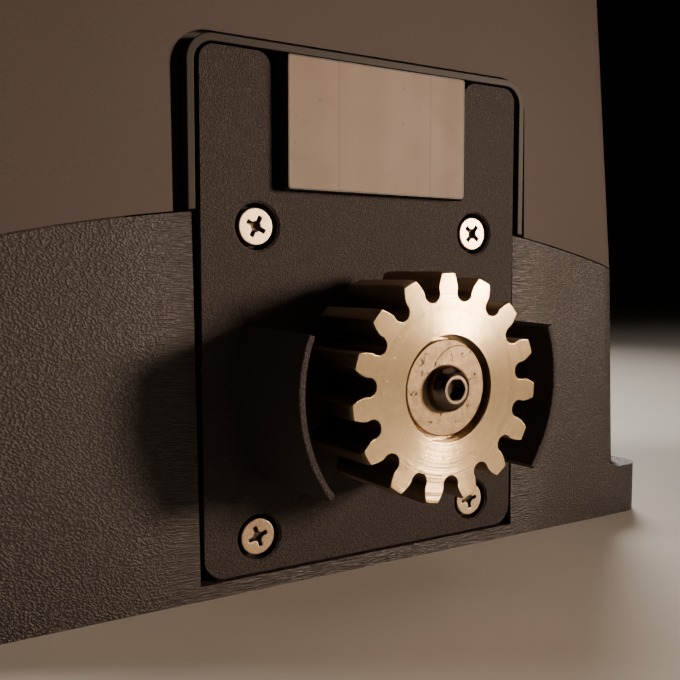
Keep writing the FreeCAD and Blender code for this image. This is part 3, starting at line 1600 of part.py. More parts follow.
def board_fuse_holder():
    width, depth, height = fuse_size
    x0 = carrier_right - board_margin - fuse_place[0]
    z0 = carrier_bottom + board_margin + fuse_place[1]
    cap = rectangle(x0, x0 + width, z0, z0 + height, fuse_edge_radius)
    return prism_y(cap, board_front_y - depth, board_front_y)


def transformer_parts():
    """Laminated core with two windows, and the coil round its middle leg."""
    half = transformer_width / 2
    y0 = transformer_y - transformer_stack / 2
    y1 = transformer_y + transformer_stack / 2
    z0 = floor_thickness
    z1 = floor_thickness + transformer_height
    core = box(transformer_x - half, transformer_x + half, y0, y1, z0, z1)
    leg = transformer_leg
    for side in (-1, 1):
        near = transformer_x + side * leg
        far = transformer_x + side * (half - leg)
        window = box(min(near, far), max(near, far), y0 - over, y1 + over, z0 + leg, z1 - leg)
        core = core.cut(window)
    coil_half = half - leg - seat_gap
    coil_outer = rectangle(transformer_x - coil_half, transformer_x + coil_half, y0 - coil_overhang,
                           y1 + coil_overhang, coil_corner_radius)
    coil = prism_z(coil_outer, z0 + leg + seat_gap, z1 - leg - seat_gap)
    reach = leg + seat_gap
    hollow = box(transformer_x - reach, transformer_x + reach, y0 - seat_gap, y1 + seat_gap, z0, z1)
    coil = coil.cut(hollow)
    half_tab = transformer_tab_width / 2
    for side in (-1, 1):
        ends = sorted((transformer_x + side * (half - transformer_tab_root),
                       transformer_x + side * (half + transformer_tab_reach)))
        core = core.fuse(box(*ends, transformer_y - half_tab, transformer_y + half_tab, z0,
                             z0 + transformer_tab_thickness))
    hole = small_screw_radius + hole_clearance
    for x, y in transformer_screw_points():
        core = core.cut(rod_z(hole, z0 - over, z0 + transformer_tab_thickness + over, x, y))
    return core.removeSplitter(), coil


def transformer_screw_points():
    reach = transformer_width / 2 + transformer_screw_reach
    return [(transformer_x - reach, transformer_y), (transformer_x + reach, transformer_y)]


def transformer_screws():
    screw = hex_head_bolt(small_hex_head, small_screw_radius, transformer_tab_thickness + floor_screw_depth)
    top = floor_thickness + transformer_tab_thickness
    return Part.Compound([placed(screw, (x, y, top), (0, 0, 1)) for x, y in transformer_screw_points()])


def run_capacitor():
    neck_z = capacitor_height - capacitor_neck_height
    profile = [(0, 0), (capacitor_radius, 0, capacitor_edge_radius),
               (capacitor_radius, neck_z, smallest_radius),
               (capacitor_radius - capacitor_neck, capacitor_height), (0, capacitor_height)]
    body = turned(profile, (capacitor_x, capacitor_y, floor_thickness), (0, 0, 1))
    blades = []
    top = floor_thickness + capacitor_height
    for side in (-1, 1):
        x0 = capacitor_x + side * blade_spacing / 2 - blade_thickness / 2
        blades.append(box(x0, x0 + blade_thickness, capacitor_y - blade_width / 2,
                          capacitor_y + blade_width / 2, top - over, top + blade_height))
    return join([body] + blades)


def capacitor_clip():
    """Spring ring round the capacitor with a foot on the floor."""
    inner = capacitor_radius + seat_gap
    outer = inner + clip_thickness
    z0 = floor_thickness
    top = z0 + clip_rise + clip_height
    ring = rod_z(outer, z0 + clip_rise, top, capacitor_x, capacitor_y)
    near = capacitor_x - inner + over
    y0 = capacitor_y - clip_width / 2
    y1 = capacitor_y + clip_width / 2
    strap = box(capacitor_x - outer - over, near, y0, y1, z0, top)
    foot_tab = box(capacitor_x - outer - clip_foot_length, near, y0, y1, z0, z0 + clip_thickness)
    body = ring.multiFuse([strap, foot_tab])
    body = body.cut(rod_z(inner, z0 - over, top + over, capacitor_x, capacitor_y))
    half = clip_mouth / 2
    gap = box(capacitor_x, capacitor_x + 2 * outer, capacitor_y - half, capacitor_y + half, z0, top + over)
    return body.cut(gap).removeSplitter()


def cable_grommet():
    radius = cable_entry_radius - seat_gap
    flange = radius + grommet_flange
    recess = grommet_recess
    profile = [
        (radius - grommet_wall, recess - grommet_lip), (flange, recess - grommet_lip), (flange, recess),
        (radius, recess), (radius, floor_thickness), (flange, floor_thickness),
        (flange, floor_thickness + grommet_lip), (radius - grommet_wall, floor_thickness + grommet_lip),
    ]
    return turned(profile, (cable_entry_x, cable_entry_y, 0), (0, 0, 1))


def bearings():
    """Outer and inner rings of every ball bearing, by node name."""
    along_y = (0, 1, 0)
    along_z = (0, 0, 1)
    places = {
        "output_front_bearing": (output_bearing, (axis_x, front_bearing_y, axis_z), along_y),
        "output_rear_bearing": (output_bearing, (axis_x, rear_bearing_y, axis_z), along_y),
        "worm_lower_bearing": (worm_lower_bearing, (worm_x, wheel_y, lower_bearing_z), along_z),
        "worm_middle_bearing": (worm_middle_bearing, (worm_x, wheel_y, middle_bearing_z), along_z),
        "motor_top_bearing": (worm_lower_bearing, (worm_x, wheel_y, upper_bearing_z), along_z),
    }
    rings = {}
    for name, (sizes, at, direction) in places.items():
        outer, inner = ball_bearing(sizes, at, direction)
        rings[name + "_outer"] = outer
        rings[name + "_inner"] = inner
    return rings


def save(name, shape):
    solids = shape.Solids
    closed = all(solid.isValid() and solid.isClosed() for solid in solids)
    print(f"{name}: {len(solids)} solids, {shape.Volume:.0f} mm3, {'sound' if closed else 'BROKEN'}")
    shape.exportStep(f"parts/{name}.step")


def main():
    os.makedirs("parts", exist_ok=True)
    transformer_core, transformer_coil = transformer_parts()
    pieces = {
        "base_housing": base_housing(),
        "cover": cover(),
        "cover_trim": cover_trim(),
        "cover_screws": cover_screws(),
        "front_plate": front_plate(),
        "plate_screws": plate_screws(),
        "sensor_case": sensor_case(),
        "sensor_face": sensor_face(),
        "pinion": pinion(),
        "pinion_washer": pinion_washer(),
        "pinion_screw": pinion_screw(),
        "pinion_key": key(stub_radius, pinion_key_y, pinion_key_y + key_length),
        "output_shaft": output_shaft(),
        "wheel_key": key(output_bearing[0], wheel_key_y, wheel_key_y + wheel_key_length),
        "shaft_circlip": shaft_circlip(),
        "shaft_seal": shaft_seal(),
        "worm_wheel": worm_wheel(),
        "worm_shaft": worm_shaft(),
        "gearbox_housing": gearbox_housing(),
        "gearbox_lid": gearbox_lid(),
        "lid_screws": lid_screws(),
        "gearbox_screws": gearbox_screws(),
        "rotor_core": rotor_core(),
        "stator_core": stator_core(),
        "stator_windings": stator_windings(),
        "motor_frame": motor_frame(),
        "motor_end_cap": motor_end_cap(),
        "motor_bolts": motor_bolts(),
        "release_lever": release_lever(),
        "lock_cylinder": lock_cylinder(),
        "lever_pin": lever_pin(),
        "release_rod": release_rod(),
        "board_carrier": board_carrier(),
        "control_board": control_board(),
        "board_screws": board_screws(),
        "carrier_screws": carrier_screws(),
        "relays": relays(),
        "terminal_blocks": terminal_blocks(),
        "board_fuse_holder": board_fuse_holder(),
        "transformer_core": transformer_core,
        "transformer_coil": transformer_coil,
        "transformer_screws": transformer_screws(),
        "run_capacitor": run_capacitor(),
        "capacitor_clip": capacitor_clip(),
        "cable_grommet": cable_grommet(),
    }
    pieces.update(bearings())
    for name, shape in pieces.items():
        save(name, shape)


main()
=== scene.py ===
import json
import math

import bmesh
import bpy
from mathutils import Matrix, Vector


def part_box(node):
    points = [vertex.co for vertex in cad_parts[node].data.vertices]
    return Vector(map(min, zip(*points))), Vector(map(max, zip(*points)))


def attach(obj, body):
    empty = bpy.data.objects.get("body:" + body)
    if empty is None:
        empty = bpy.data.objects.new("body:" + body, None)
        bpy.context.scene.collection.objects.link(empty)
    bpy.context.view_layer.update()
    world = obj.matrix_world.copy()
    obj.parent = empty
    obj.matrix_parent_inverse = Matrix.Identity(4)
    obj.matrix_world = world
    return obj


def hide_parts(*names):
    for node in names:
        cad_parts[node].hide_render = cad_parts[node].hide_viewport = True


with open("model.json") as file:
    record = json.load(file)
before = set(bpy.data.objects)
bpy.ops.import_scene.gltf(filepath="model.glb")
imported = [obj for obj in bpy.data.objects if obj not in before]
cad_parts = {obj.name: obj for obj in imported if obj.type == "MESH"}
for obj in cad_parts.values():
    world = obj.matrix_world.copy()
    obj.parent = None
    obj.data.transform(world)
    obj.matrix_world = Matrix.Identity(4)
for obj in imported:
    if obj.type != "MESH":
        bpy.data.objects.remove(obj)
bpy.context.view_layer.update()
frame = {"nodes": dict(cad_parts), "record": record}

# Dressed model of a sliding gate motor, in metres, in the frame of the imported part.
# X runs to the right as seen from the pinion side, Y runs away from it, Z runs up.

MM = 0.001
X, Y, Z = 0, 1, 2
slot_of = {part["node"]: part["material_slot"] for part in frame["record"]["subparts"]}
body_of = {node: body for body, nodes in frame["record"]["behaviour"]["bodies"].items() for node in nodes}


def middle(node):
    low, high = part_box(node)
    return (low + high) / 2


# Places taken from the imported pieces, in millimetres
axis_x = middle("pinion_washer").x / MM
axis_z = middle("pinion_washer").z / MM
washer_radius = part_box("pinion_washer")[1].x / MM - axis_x
pinion_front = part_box("pinion")[0].y / MM
screw_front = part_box("pinion_screw")[0].y / MM
sensor_left, sensor_right = (corner.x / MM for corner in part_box("sensor_face"))
plate_screw_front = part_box("plate_screws")[0].y / MM

# Marks of wear and moulding, in millimetres unless a comment says otherwise
streaks_full, streaks_end = 62, 92  # distances sideways from the pinion axis
grain_lean = math.radians(-32)
socket_edge_radius = 3.8
window_lines = (0.26, 0.79)  # shares of the window's width
arc_across, arc_up, arc_radius = (share * washer_radius for share in (0.30, 0.20, 0.66))
arc_low, arc_high = 2.8, 4.2  # heights over the arc's centre between which it fades in
fine_grooves = 0.05


# Shader maths

class Field:
    """A number, colour or vector that varies over a surface: one output of a shader node."""

    def __init__(self, finish, socket):
        self.finish = finish
        self.socket = socket

    def joined(self, operation, first, second):
        numbers = all(side.socket.type == "VALUE" for side in (first, second) if isinstance(side, Field))
        numbers = numbers and not any(isinstance(side, tuple) for side in (first, second))
        kind = "ShaderNodeMath" if numbers else "ShaderNodeVectorMath"
        return self.finish.node(kind, {"operation": operation}, {0: first, 1: second})

    def __add__(self, other):
        return self.joined("ADD", self, other)

    def __radd__(self, other):
        return self.joined("ADD", other, self)

    def __sub__(self, other):
        return self.joined("SUBTRACT", self, other)

    def __rsub__(self, other):
        return self.joined("SUBTRACT", other, self)

    def __mul__(self, other):
        return self.joined("MULTIPLY", self, other)

    def __rmul__(self, other):
        return self.joined("MULTIPLY", other, self)

    def __truediv__(self, other):
        return self.joined("DIVIDE", self, other)

    def __pow__(self, other):
        return self.joined("POWER", self, other)

    def __abs__(self):
        return self.finish.node("ShaderNodeMath", {"operation": "ABSOLUTE"}, {0: self})

    def rise(self, low, high):
        """Smooth step from 0 at low to 1 at high."""
        return self.finish.node("ShaderNodeMapRange", {"interpolation_type": "SMOOTHSTEP"},
                                {"Value": self, "From Min": low, "From Max": high})

    def fall(self, low, high):
        return 1 - self.rise(low, high)


class Finish:
    """The node tree of one material. Its patterns are laid out in millimetres on the piece itself."""

    def __init__(self, name):
        self.material = bpy.data.materials.new(name)
        self.material.use_nodes = True
        self.tree = self.material.node_tree
        self.tree.nodes.clear()
        self.place = self.node("ShaderNodeTexCoord", output="Object") * (1 / MM)
        self.facing = self.node("ShaderNodeTexCoord", output="Normal")

    def node(self, kind, settings=None, inputs=None, output=0):
        """Adds a node: its settings first, then a value or a link for each socket."""
        made = self.tree.nodes.new(kind)
        for name, value in (settings or {}).items():
            setattr(made, name, value)
        for name, value in (inputs or {}).items():
            socket = made.inputs[name]
            if isinstance(value, Field):
                self.tree.links.new(value.socket, socket)
            elif hasattr(socket.default_value, "__len__") and not hasattr(value, "__len__"):
                socket.default_value = [value] * len(socket.default_value)
            else:
                socket.default_value = value
        return Field(self, made.outputs[output]) if made.outputs else None

    def axis(self, vector, index):
        """One coordinate of a vector."""
        return self.node("ShaderNodeSeparateXYZ", inputs={0: vector}, output=index)

    def towards_front(self):
        """How far the surface faces the pinion side, from -1 to 1."""
        return self.axis(self.facing, Y) * -1

    def noise(self, size, detail=2.0, rough=0.5, where=None, bend=0.0):
        """Cloudy pattern from 0 to 1 whose blotches are about a size across, in millimetres."""
        where = self.place if where is None else where
        return self.node("ShaderNodeTexNoise", inputs={"Vector": where, "Scale": 1 / size, "Detail": detail,
                                                       "Roughness": rough, "Distortion": bend})

    def cells(self, size, feature="F1", where=None, spread=1.0):
        where = self.place if where is None else where
        return self.node("ShaderNodeTexVoronoi", {"feature": feature},
                         {"Vector": where, "Scale": 1 / size, "Randomness": spread})

    def mix(self, share, first, second):
        """Blend of two colours."""
        return self.node("ShaderNodeMix", {"data_type": "RGBA"}, {0: share, 6: first, 7: second}, output=2)

    def bump(self, height, depth, under=None):
        """Surface normal of a height pattern whose 0 to 1 is a depth in millimetres."""
        inputs = {"Height": height, "Distance": depth * MM, "Strength": 1.0}
        if under is not None:
            inputs["Normal"] = under
        return self.node("ShaderNodeBump", inputs=inputs)

    def tilted(self, lean):
        """Surface normal leaned over by a small vector in the piece's own space."""
        leaned = self.node("ShaderNodeVectorMath", {"operation": "NORMALIZE"}, {0: self.facing + lean})
        spaces = {"vector_type": "NORMAL", "convert_from": "OBJECT", "convert_to": "WORLD"}
        return self.node("ShaderNodeVectorTransform", spaces, {0: leaned})

    def surface(self, colour, roughness, normal=None, **constants):
        """Ends the material; every other setting is one value on the shader's own socket."""
        inputs = {"Base Color": colour, "Roughness": roughness}
        if normal is not None:
            inputs["Normal"] = normal
        for name, value in constants.items():
            inputs[name.replace("_", " ").title().replace("Ior", "IOR")] = value
        shader = self.node("ShaderNodeBsdfPrincipled", inputs=inputs)
        self.node("ShaderNodeOutputMaterial", inputs={"Surface": shader})
        return self.material


def shade(red, green, blue):
    """Colour from its 0 to 255 screen values."""
    def linear(value):
        share = value / 255
        return share / 12.92 if share <= 0.04045 else ((share + 0.055) / 1.055) ** 2.4
    return (linear(red), linear(green), linear(blue), 1.0)


# Finishes of the housing

def base_plastic():
    """Moulded grain: short wrinkles that lean to the right, and level streaks beside the cut-out."""
    finish = Finish("base_plastic")
    turned = finish.node("ShaderNodeVectorRotate", {"rotation_type": "Y_AXIS"},
                         {"Vector": finish.place, "Angle": grain_lean})
    leaned = turned * (0.8, 0.9, 1.15)
    pebbles = finish.cells(0.68, "SMOOTH_F1", leaned).fall(0.05, 0.75)
    wrinkles = pebbles * 0.45 + finish.noise(0.52, 2.0, 0.6, leaned) * 0.65
    streaks = finish.noise(0.6, 1.5, 0.5, finish.place * (0.15, 0.5, 1.5), 0.2) * 0.95 + 0.1
    sideways = abs(finish.axis(finish.place, X) - axis_x)
    beside = sideways.fall(streaks_full, streaks_end) * finish.towards_front().rise(0.5, 0.9)
    grain = wrinkles + beside * (streaks - wrinkles)
    folds = grain.rise(0.35, 0.8)
    normal = finish.bump(folds, 0.2)
    blotches = finish.noise(26, 2.0)
    colour = finish.mix(folds, shade(31, 27, 26), shade(65, 56, 53))
    colour = finish.mix(blotches * 0.3, colour, shade(53, 45, 43))
    return finish.surface(colour, 0.52 - 0.14 * folds + 0.1 * blotches, normal, specular_ior_level=0.55)


def cover_plastic():
    finish = Finish("cover_plastic")
    fine = finish.noise(0.32, 2.0)
    waves = finish.noise(45, 1.0)
    normal = finish.bump(waves, 0.25, finish.bump(fine, 0.022))
    colour = finish.mix(fine.rise(0.3, 0.7), shade(76, 67, 64), shade(84, 74, 71))
    colour = finish.mix(finish.noise(60, 3.0).rise(0.35, 0.75) * 0.4, colour, shade(73, 64, 61))
    return finish.surface(colour, 0.66 + 0.1 * fine, normal, specular_ior_level=0.3)


def plate_plastic():
    """Charcoal plate and guards with a very fine moulded grain."""
    finish = Finish("plate_plastic")
    grain = finish.noise(0.55, 2.0, 0.6)
    normal = finish.bump(grain.rise(0.3, 0.7), 0.24)
    colour = finish.mix(grain.rise(0.3, 0.7), shade(37, 32, 31), shade(68, 59, 57))
    colour = finish.mix(finish.noise(30, 2.0) * 0.3, colour, shade(43, 37, 35))
    return finish.surface(colour, 0.56 + 0.16 * grain, normal, specular_ior_level=0.4)


def trim_plastic():
    finish = Finish("trim_plastic")
    grain = finish.noise(0.4, 2.0)
    colour = finish.mix(grain, shade(31, 26, 23), shade(42, 35, 31))
    return finish.surface(colour, 0.52 + 0.12 * grain, finish.bump(grain, 0.03), specular_ior_level=0.35)


def sensor_plastic():
    finish = Finish("sensor_plastic")
    grain = finish.noise(0.35, 2.0)
    colour = finish.mix(grain, shade(40, 36, 32), shade(54, 48, 43))
    return finish.surface(colour, 0.42 + 0.12 * grain, finish.bump(grain, 0.02))


def sensor_window():
    """Pale resin face with faint upright bands, two fine upright lines and rubbed patches."""
    finish = Finish("sensor_window")
    x = finish.axis(finish.place, X)
    bands = finish.noise(1.0, 1.0, 0.4, finish.place * (0.09, 0.0, 0.004))
    rubbed = finish.noise(14, 4.0, 0.6, bend=0.8)
    fine = finish.noise(0.4, 2.0)
    colour = finish.mix(bands.rise(0.3, 0.7), shade(132, 116, 104), shade(142, 125, 112))
    colour = finish.mix(rubbed.rise(0.5, 0.75) * 0.2, colour, shade(120, 105, 94))
    colour = finish.mix(fine * 0.2, colour, shade(150, 132, 118))
    marks = finish.cells(7.0).fall(0.03, 0.09)
    for share in window_lines:
        line_x = sensor_left + share * (sensor_right - sensor_left)
        marks = marks + abs(x - line_x).fall(0.1, 0.6) * 0.5
    colour = finish.mix(marks * 0.5, colour, shade(92, 80, 70))
    normal = finish.bump(rubbed, 0.05, finish.bump(fine, 0.01))
    return finish.surface(colour, 0.5 + 0.16 * rubbed + 0.05 * fine, normal, specular_ior_level=0.35)


# Metals

def turned_lean(finish, pitch, slope):
    """Radial distance from the pinion axis, and the lean of the fine turned grooves round it."""
    across = finish.axis(finish.place, X) - axis_x
    up = finish.axis(finish.place, Z) - axis_z
    radius = (across * across + up * up) ** 0.5
    radial = finish.node("ShaderNodeCombineXYZ", inputs={0: across / radius, 2: up / radius})
    rings = finish.node("ShaderNodeCombineXYZ", inputs={0: radius})
    grooves = finish.noise(pitch, 1.0, 0.5, rings)
    return radius, radial * ((grooves - 0.5) * slope)


def gear_steel():
    """Turned front face with small dark pits, and rougher tooth flanks whose darker colour is painted shade.
    """
    finish = Finish("gear_steel")
    radius, lean = turned_lean(finish, fine_grooves, 2.1)
    front = finish.towards_front().rise(0.9, 0.98)
    pits = finish.cells(1.6).fall(0.08, 0.22) * finish.noise(4.0, 2.0).rise(0.5, 0.62)
    smears = finish.noise(9, 4.0, 0.65, bend=1.2)
    face = finish.mix(smears.rise(0.35, 0.75), shade(246, 217, 166), shade(220, 191, 146))
    face = finish.mix(pits * 0.7, face, shade(104, 92, 80))
    drawn = finish.noise(2.2, 3.0, where=finish.place * (1, 0.15, 1))
    # Flanks and tooth tips get a darker colour than the face: painted shade, with faint drawn lines along the
    # teeth.
    flank_painted_shade = finish.mix(drawn, shade(112, 100, 88), shade(176, 158, 136))
    colour = finish.mix(front, flank_painted_shade, face)
    roughness = 0.42 + front * (0.08 * smears - 0.25) + pits * 0.2
    lay = finish.noise(0.25, 2.0, where=finish.place * (1, 0.08, 1))
    normal = finish.bump(lay, 0.012, finish.tilted(lean * front))
    return finish.surface(colour, roughness, normal, metallic=1.0)


def washer_steel():
    """Turned washer with a fine off-centre arc, a few dark scratches and many small specks."""
    finish = Finish("washer_steel")
    radius, lean = turned_lean(finish, fine_grooves, 0.9)
    across = finish.axis(finish.place, X) - (axis_x + arc_across)
    up = finish.axis(finish.place, Z) - (axis_z + arc_up)
    reach = (across * across + up * up) ** 0.5
    arc = abs(reach - arc_radius).fall(0.06, 0.24) * up.rise(arc_low, arc_high)
    smears = finish.noise(4, 4.0, 0.65, bend=1.0)
    worn = abs(finish.noise(6, 3.0, 0.65) - 0.5).fall(0.008, 0.024) * finish.noise(5, 1.0).rise(0.5, 0.62)
    specks = finish.cells(0.55).fall(0.1, 0.3) * finish.noise(2.5, 2.0).rise(0.4, 0.6)
    marks = worn + specks * 0.6 + arc * 0.8
    colour = finish.mix(smears.rise(0.3, 0.75), shade(162, 140, 110), shade(130, 111, 86))
    colour = finish.mix(marks * 0.85, colour, shade(48, 40, 33))
    normal = finish.bump(marks, -0.04, finish.tilted(lean))
    return finish.surface(colour, 0.44 + 0.12 * smears + 0.15 * marks, normal, metallic=1.0)


def plated_steel(name, light, dark, roughness):
    """Bright plated metal, faintly mottled."""
    finish = Finish(name)
    mottle = finish.noise(0.7, 3.0, 0.65)
    colour = finish.mix(mottle.rise(0.3, 0.7), light, dark)
    return finish.surface(colour, roughness + 0.14 * mottle, finish.bump(mottle, 0.02), metallic=1.0)


def black_screw():
    """Blackened screw head with a bright ring where the socket's edge is rubbed."""
    finish = Finish("black_screw")
    radius, lean = turned_lean(finish, 0.3, 0.5)
    depth = finish.axis(finish.place, Y) - screw_front
    rubbed = abs(radius - socket_edge_radius).fall(0.25, 0.45) * depth.fall(0.25, 0.6)
    mottle = finish.noise(0.6, 3.0)
    colour = finish.mix(mottle, shade(84, 73, 64), shade(116, 101, 88))
    colour = finish.mix(rubbed, colour, shade(226, 205, 178))
    return finish.surface(colour, 0.15 + 0.14 * mottle, finish.tilted(lean), metallic=1.0)


def plate_screw_steel():
    """Bright mottled head; its cross recess is darkened with painted shade."""
    finish = Finish("plated_screws")
    mottle = finish.noise(0.7, 3.0, 0.65)
    recess_painted_shade = (finish.axis(finish.place, Y) - plate_screw_front).rise(0.1, 0.5)
    colour = finish.mix(mottle.rise(0.3, 0.7), shade(244, 219, 182), shade(206, 180, 146))
    # Painted shade: the cross recess darkens towards its depth, where shade falls in the hollow.
    colour = finish.mix(recess_painted_shade * 0.9, colour, shade(52, 43, 36))
    roughness = 0.3 + 0.14 * mottle + 0.2 * recess_painted_shade
    return finish.surface(colour, roughness, finish.bump(mottle, 0.02), metallic=1.0)


# Finishes inside the housing

def cast_alloy():
    finish = Finish("cast_alloy")
    skin = finish.noise(0.9, 3.0, 0.6)
    stain = finish.noise(22, 3.0)
    colour = finish.mix(skin, shade(168, 170, 172), shade(190, 191, 192))
    colour = finish.mix(stain.rise(0.45, 0.8) * 0.5, colour, shade(148, 148, 148))
    return finish.surface(colour, 0.48 + 0.14 * skin, finish.bump(skin, 0.06), metallic=1.0)


def dull(name, light, dark, size=1.5, depth=0.03, roughness=0.5, **constants):
    """Plain material with a soft mottled colour and a faint grain."""
    finish = Finish(name)
    mottle = finish.noise(size, 3.0)
    colour = finish.mix(mottle.rise(0.25, 0.75), dark, light)
    return finish.surface(colour, roughness + 0.12 * mottle, finish.bump(mottle, depth), **constants)


def laminated(name, light, dark, along):
    """Stacked sheets seen from the side, half a millimetre each."""
    finish = Finish(name)
    level = finish.axis(finish.place, along)
    sheets = finish.noise(1.0, 1.0, 0.5, finish.node("ShaderNodeCombineXYZ", inputs={0: level * 2.0}))
    colour = finish.mix(sheets.rise(0.35, 0.65), dark, light)
    return finish.surface(colour, 0.45 + 0.15 * sheets, finish.bump(sheets, 0.08), metallic=0.8)


def wound(name, light, dark, pitch):
    """Turns of wire or tape lying side by side."""
    finish = Finish(name)
    x, y, z = (finish.axis(finish.place, index) for index in (X, Y, Z))
    turns = (z + 0.12 * (x + y)) / pitch
    strands = finish.node("ShaderNodeMath", {"operation": "SINE"}, {0: turns * math.tau})
    height = strands * 0.5 + 0.5
    colour = finish.mix(height * finish.noise(6, 2.0).rise(0.2, 0.7), dark, light)
    return finish.surface(colour, 0.32 + 0.1 * height, finish.bump(height, pitch * 0.3), coat_weight=0.3)


def board_laminate():
    """Green board with faint copper tracks under the lacquer."""
    finish = Finish("board_laminate")
    tracks = finish.cells(6.0, "DISTANCE_TO_EDGE", finish.place * (1.0, 0.0, 0.6), 0.25)
    copper = tracks.fall(0.04, 0.09)
    weave = finish.noise(0.7, 2.0)
    colour = finish.mix(weave, shade(24, 78, 46), shade(30, 90, 54))
    colour = finish.mix(copper * 0.8, colour, shade(64, 126, 74))
    return finish.surface(colour, 0.28 + 0.1 * weave, finish.bump(copper, 0.035), coat_weight=0.4)


def wheel_bronze():
    finish = Finish("wheel_bronze")
    radius, lean = turned_lean(finish, 0.35, 0.9)
    mottle = finish.noise(5, 3.0)
    colour = finish.mix(mottle, shade(196, 150, 84), shade(170, 124, 66))
    return finish.surface(colour, 0.3 + 0.14 * mottle, finish.tilted(lean), metallic=1.0)


finishes = {
    "base_plastic": base_plastic(),
    "cover_plastic": cover_plastic(),
    "trim_plastic": trim_plastic(),
    "plate_plastic": plate_plastic(),
    "plated_screws": plate_screw_steel(),
    "sensor_plastic": sensor_plastic(),
    "sensor_window": sensor_window(),
    "gear_steel": gear_steel(),
    "washer_steel": washer_steel(),
    "black_screw": black_screw(),
    "shaft_steel": plated_steel("shaft_steel", shade(176, 172, 166), shade(146, 142, 136), 0.24),
    "seal_rubber": dull("seal_rubber", shade(34, 33, 32), shade(22, 21, 20), 0.8, 0.03, 0.65),
    "wheel_bronze": wheel_bronze(),
    "cast_alloy": cast_alloy(),
    "zinc_screws": plated_steel("zinc_screws", shade(204, 204, 200), shade(172, 172, 168), 0.26),
    "core_steel": laminated("core_steel", shade(98, 100, 104), shade(58, 60, 64), Z),
    "copper": wound("copper", shade(196, 112, 60), shade(96, 46, 24), 0.9),
    "coil_tape": wound("coil_tape", shade(206, 172, 66), shade(150, 116, 36), 6.0),
    "lever_plastic": dull("lever_plastic", shade(58, 52, 47), shade(44, 39, 35), 0.5, 0.05, 0.48),
    "lock_metal": plated_steel("lock_metal", shade(206, 200, 190), shade(178, 172, 162), 0.22),
    "carrier_plastic": dull("carrier_plastic", shade(48, 48, 48), shade(34, 34, 34), 0.6, 0.04, 0.5),
    "board_laminate": board_laminate(),
    "relay_plastic": dull("relay_plastic", shade(40, 86, 158), shade(32, 70, 134), 3.0, 0.01, 0.26),
    "terminal_plastic": dull("terminal_plastic", shade(52, 146, 88), shade(40, 122, 72), 2.0, 0.02, 0.38),
    "fuse_plastic": dull("fuse_plastic", shade(40, 38, 36), shade(26, 25, 24), 1.0, 0.02, 0.3),
    "capacitor_shell": dull("capacitor_shell", shade(206, 205, 200), shade(188, 187, 182), 4.0, 0.02, 0.34),
    "clip_steel": plated_steel("clip_steel", shade(176, 178, 182), shade(146, 148, 152), 0.3),
    "bearing_steel": plated_steel("bearing_steel", shade(190, 190, 188), shade(160, 160, 158), 0.2),
}

for name, node in frame["nodes"].items():
    node.data.materials.clear()
    node.data.materials.append(finishes[slot_of[name]])


# Pieces with softened edges

weld_distance = 0.002 * MM
flat_angle = math.radians(0.3)


def softened(node, width, corner=34):
    """The piece's own form with its edges rounded off where they turn by more than a corner in degrees."""
    shape = bmesh.new()
    shape.from_mesh(frame["nodes"][node].data)
    bmesh.ops.remove_doubles(shape, verts=shape.verts, dist=weld_distance)
    bmesh.ops.dissolve_limit(shape, angle_limit=flat_angle, verts=shape.verts, edges=shape.edges)
    mesh = bpy.data.meshes.new(node + "_shape")
    shape.to_mesh(mesh)
    shape.free()
    piece = bpy.data.objects.new(node + "_softened", mesh)
    bpy.context.scene.collection.objects.link(piece)
    mesh.materials.clear()
    mesh.materials.append(finishes[slot_of[node]])
    mesh.shade_smooth()
    bevel = piece.modifiers.new("edges", "BEVEL")
    bevel.width = width * MM
    bevel.segments = 2
    bevel.angle_limit = math.radians(corner)
    bevel.use_clamp_overlap = False
    shading = piece.modifiers.new("shading", "WEIGHTED_NORMAL")
    shading.weight = 100
    shading.keep_sharp = True
    evaluated = piece.evaluated_get(bpy.context.evaluated_depsgraph_get())
    rounded = bpy.data.meshes.new_from_object(evaluated)
    piece.modifiers.clear()
    piece.data = rounded
    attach(piece, body_of[node])
    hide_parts(node)


softened("pinion", 0.22)
softened("sensor_case", 0.35)
softened("cover_trim", 0.3)
softened("plate_screws", 0.25, corner=70)


# Studio

def studio_floor():
    """Wide pale floor with a faintly uneven matt surface."""
    bpy.ops.mesh.primitive_grid_add(x_subdivisions=8, y_subdivisions=8, size=6.0)
    floor = bpy.context.object
    floor.name = "studio_floor"
    finish = Finish("pale_floor")
    mottle = finish.noise(35, 3.0)
    colour = finish.mix(mottle, shade(196, 190, 182), shade(204, 198, 190))
    floor.data.materials.append(finish.surface(colour, 0.6 + 0.1 * mottle, finish.bump(mottle, 0.2)))


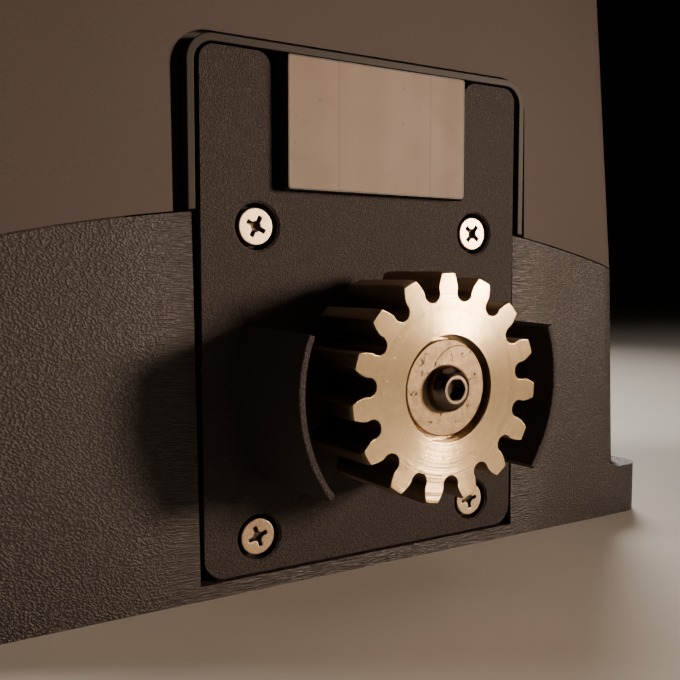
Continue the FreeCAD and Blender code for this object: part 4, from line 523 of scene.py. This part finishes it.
def soft_light(name, at, towards, size, power, tint, spread=180):
    lamp = bpy.data.lights.new(name, "AREA")
    lamp.spread = math.radians(spread)
    lamp.shape = "DISK"
    lamp.size = size
    lamp.energy = power
    lamp.color = tint
    holder = bpy.data.objects.new(name, lamp)
    holder.location = at
    holder.rotation_euler = (Vector(towards) - Vector(at)).to_track_quat("-Z", "Y").to_euler()
    bpy.context.scene.collection.objects.link(holder)


def studio_air(colour, strength):
    world = bpy.data.worlds.new("studio_air")
    world.use_nodes = True
    background = world.node_tree.nodes["Background"]
    background.inputs["Color"].default_value = colour
    background.inputs["Strength"].default_value = strength
    bpy.context.scene.world = world


def camera(at, yaw, pitch, focal_share):
    """Camera turned to the right and down; its focal length is a share of the picture's width."""
    view = bpy.data.cameras.new("camera")
    view.sensor_width = 36.0
    view.lens = focal_share * view.sensor_width
    view.clip_start = 0.01
    holder = bpy.data.objects.new("camera", view)
    holder.location = at
    forward = Vector((math.sin(yaw) * math.cos(pitch), math.cos(yaw) * math.cos(pitch), -math.sin(pitch)))
    holder.rotation_euler = forward.to_track_quat("-Z", "Y").to_euler()
    bpy.context.scene.collection.objects.link(holder)
    bpy.context.scene.camera = holder


pinion_point = Vector((axis_x, pinion_front, axis_z)) * MM
plate_point = pinion_point + Vector((-0.03, 0.0, 0.05))
body_middle = (0.0, 0.05, 0.14)
warm = (1.0, 0.80, 0.65)
pale = (1.0, 0.92, 0.84)

studio_floor()
studio_air(shade(150, 140, 130), 0.004)
soft_light("key", at=pinion_point + Vector((0.564, -0.584, 0.165)), towards=plate_point,
           size=0.2, power=0.52, tint=(1.0, 0.76, 0.575), spread=38)
soft_light("top", at=(0.3, -0.3, 1.05), towards=(0.03, 0.0, 0.2), size=0.9, power=1.15, tint=warm)
soft_light("left", at=(-0.9, -0.8, 0.5), towards=(0.0, -0.1, 0.1), size=0.8, power=0.08, tint=warm)
soft_light("left_back", at=(-0.95, 0.7, 0.75), towards=body_middle, size=0.6, power=4.5, tint=pale, spread=75)
soft_light("right_back", at=(0.85, 0.85, 0.8), towards=body_middle, size=0.6, power=3.5, tint=pale, spread=75)
camera(at=pinion_point + Vector((-0.1604, -0.19723, 0.03324)), yaw=math.radians(31.747),
       pitch=math.radians(4.245), focal_share=1.2569)
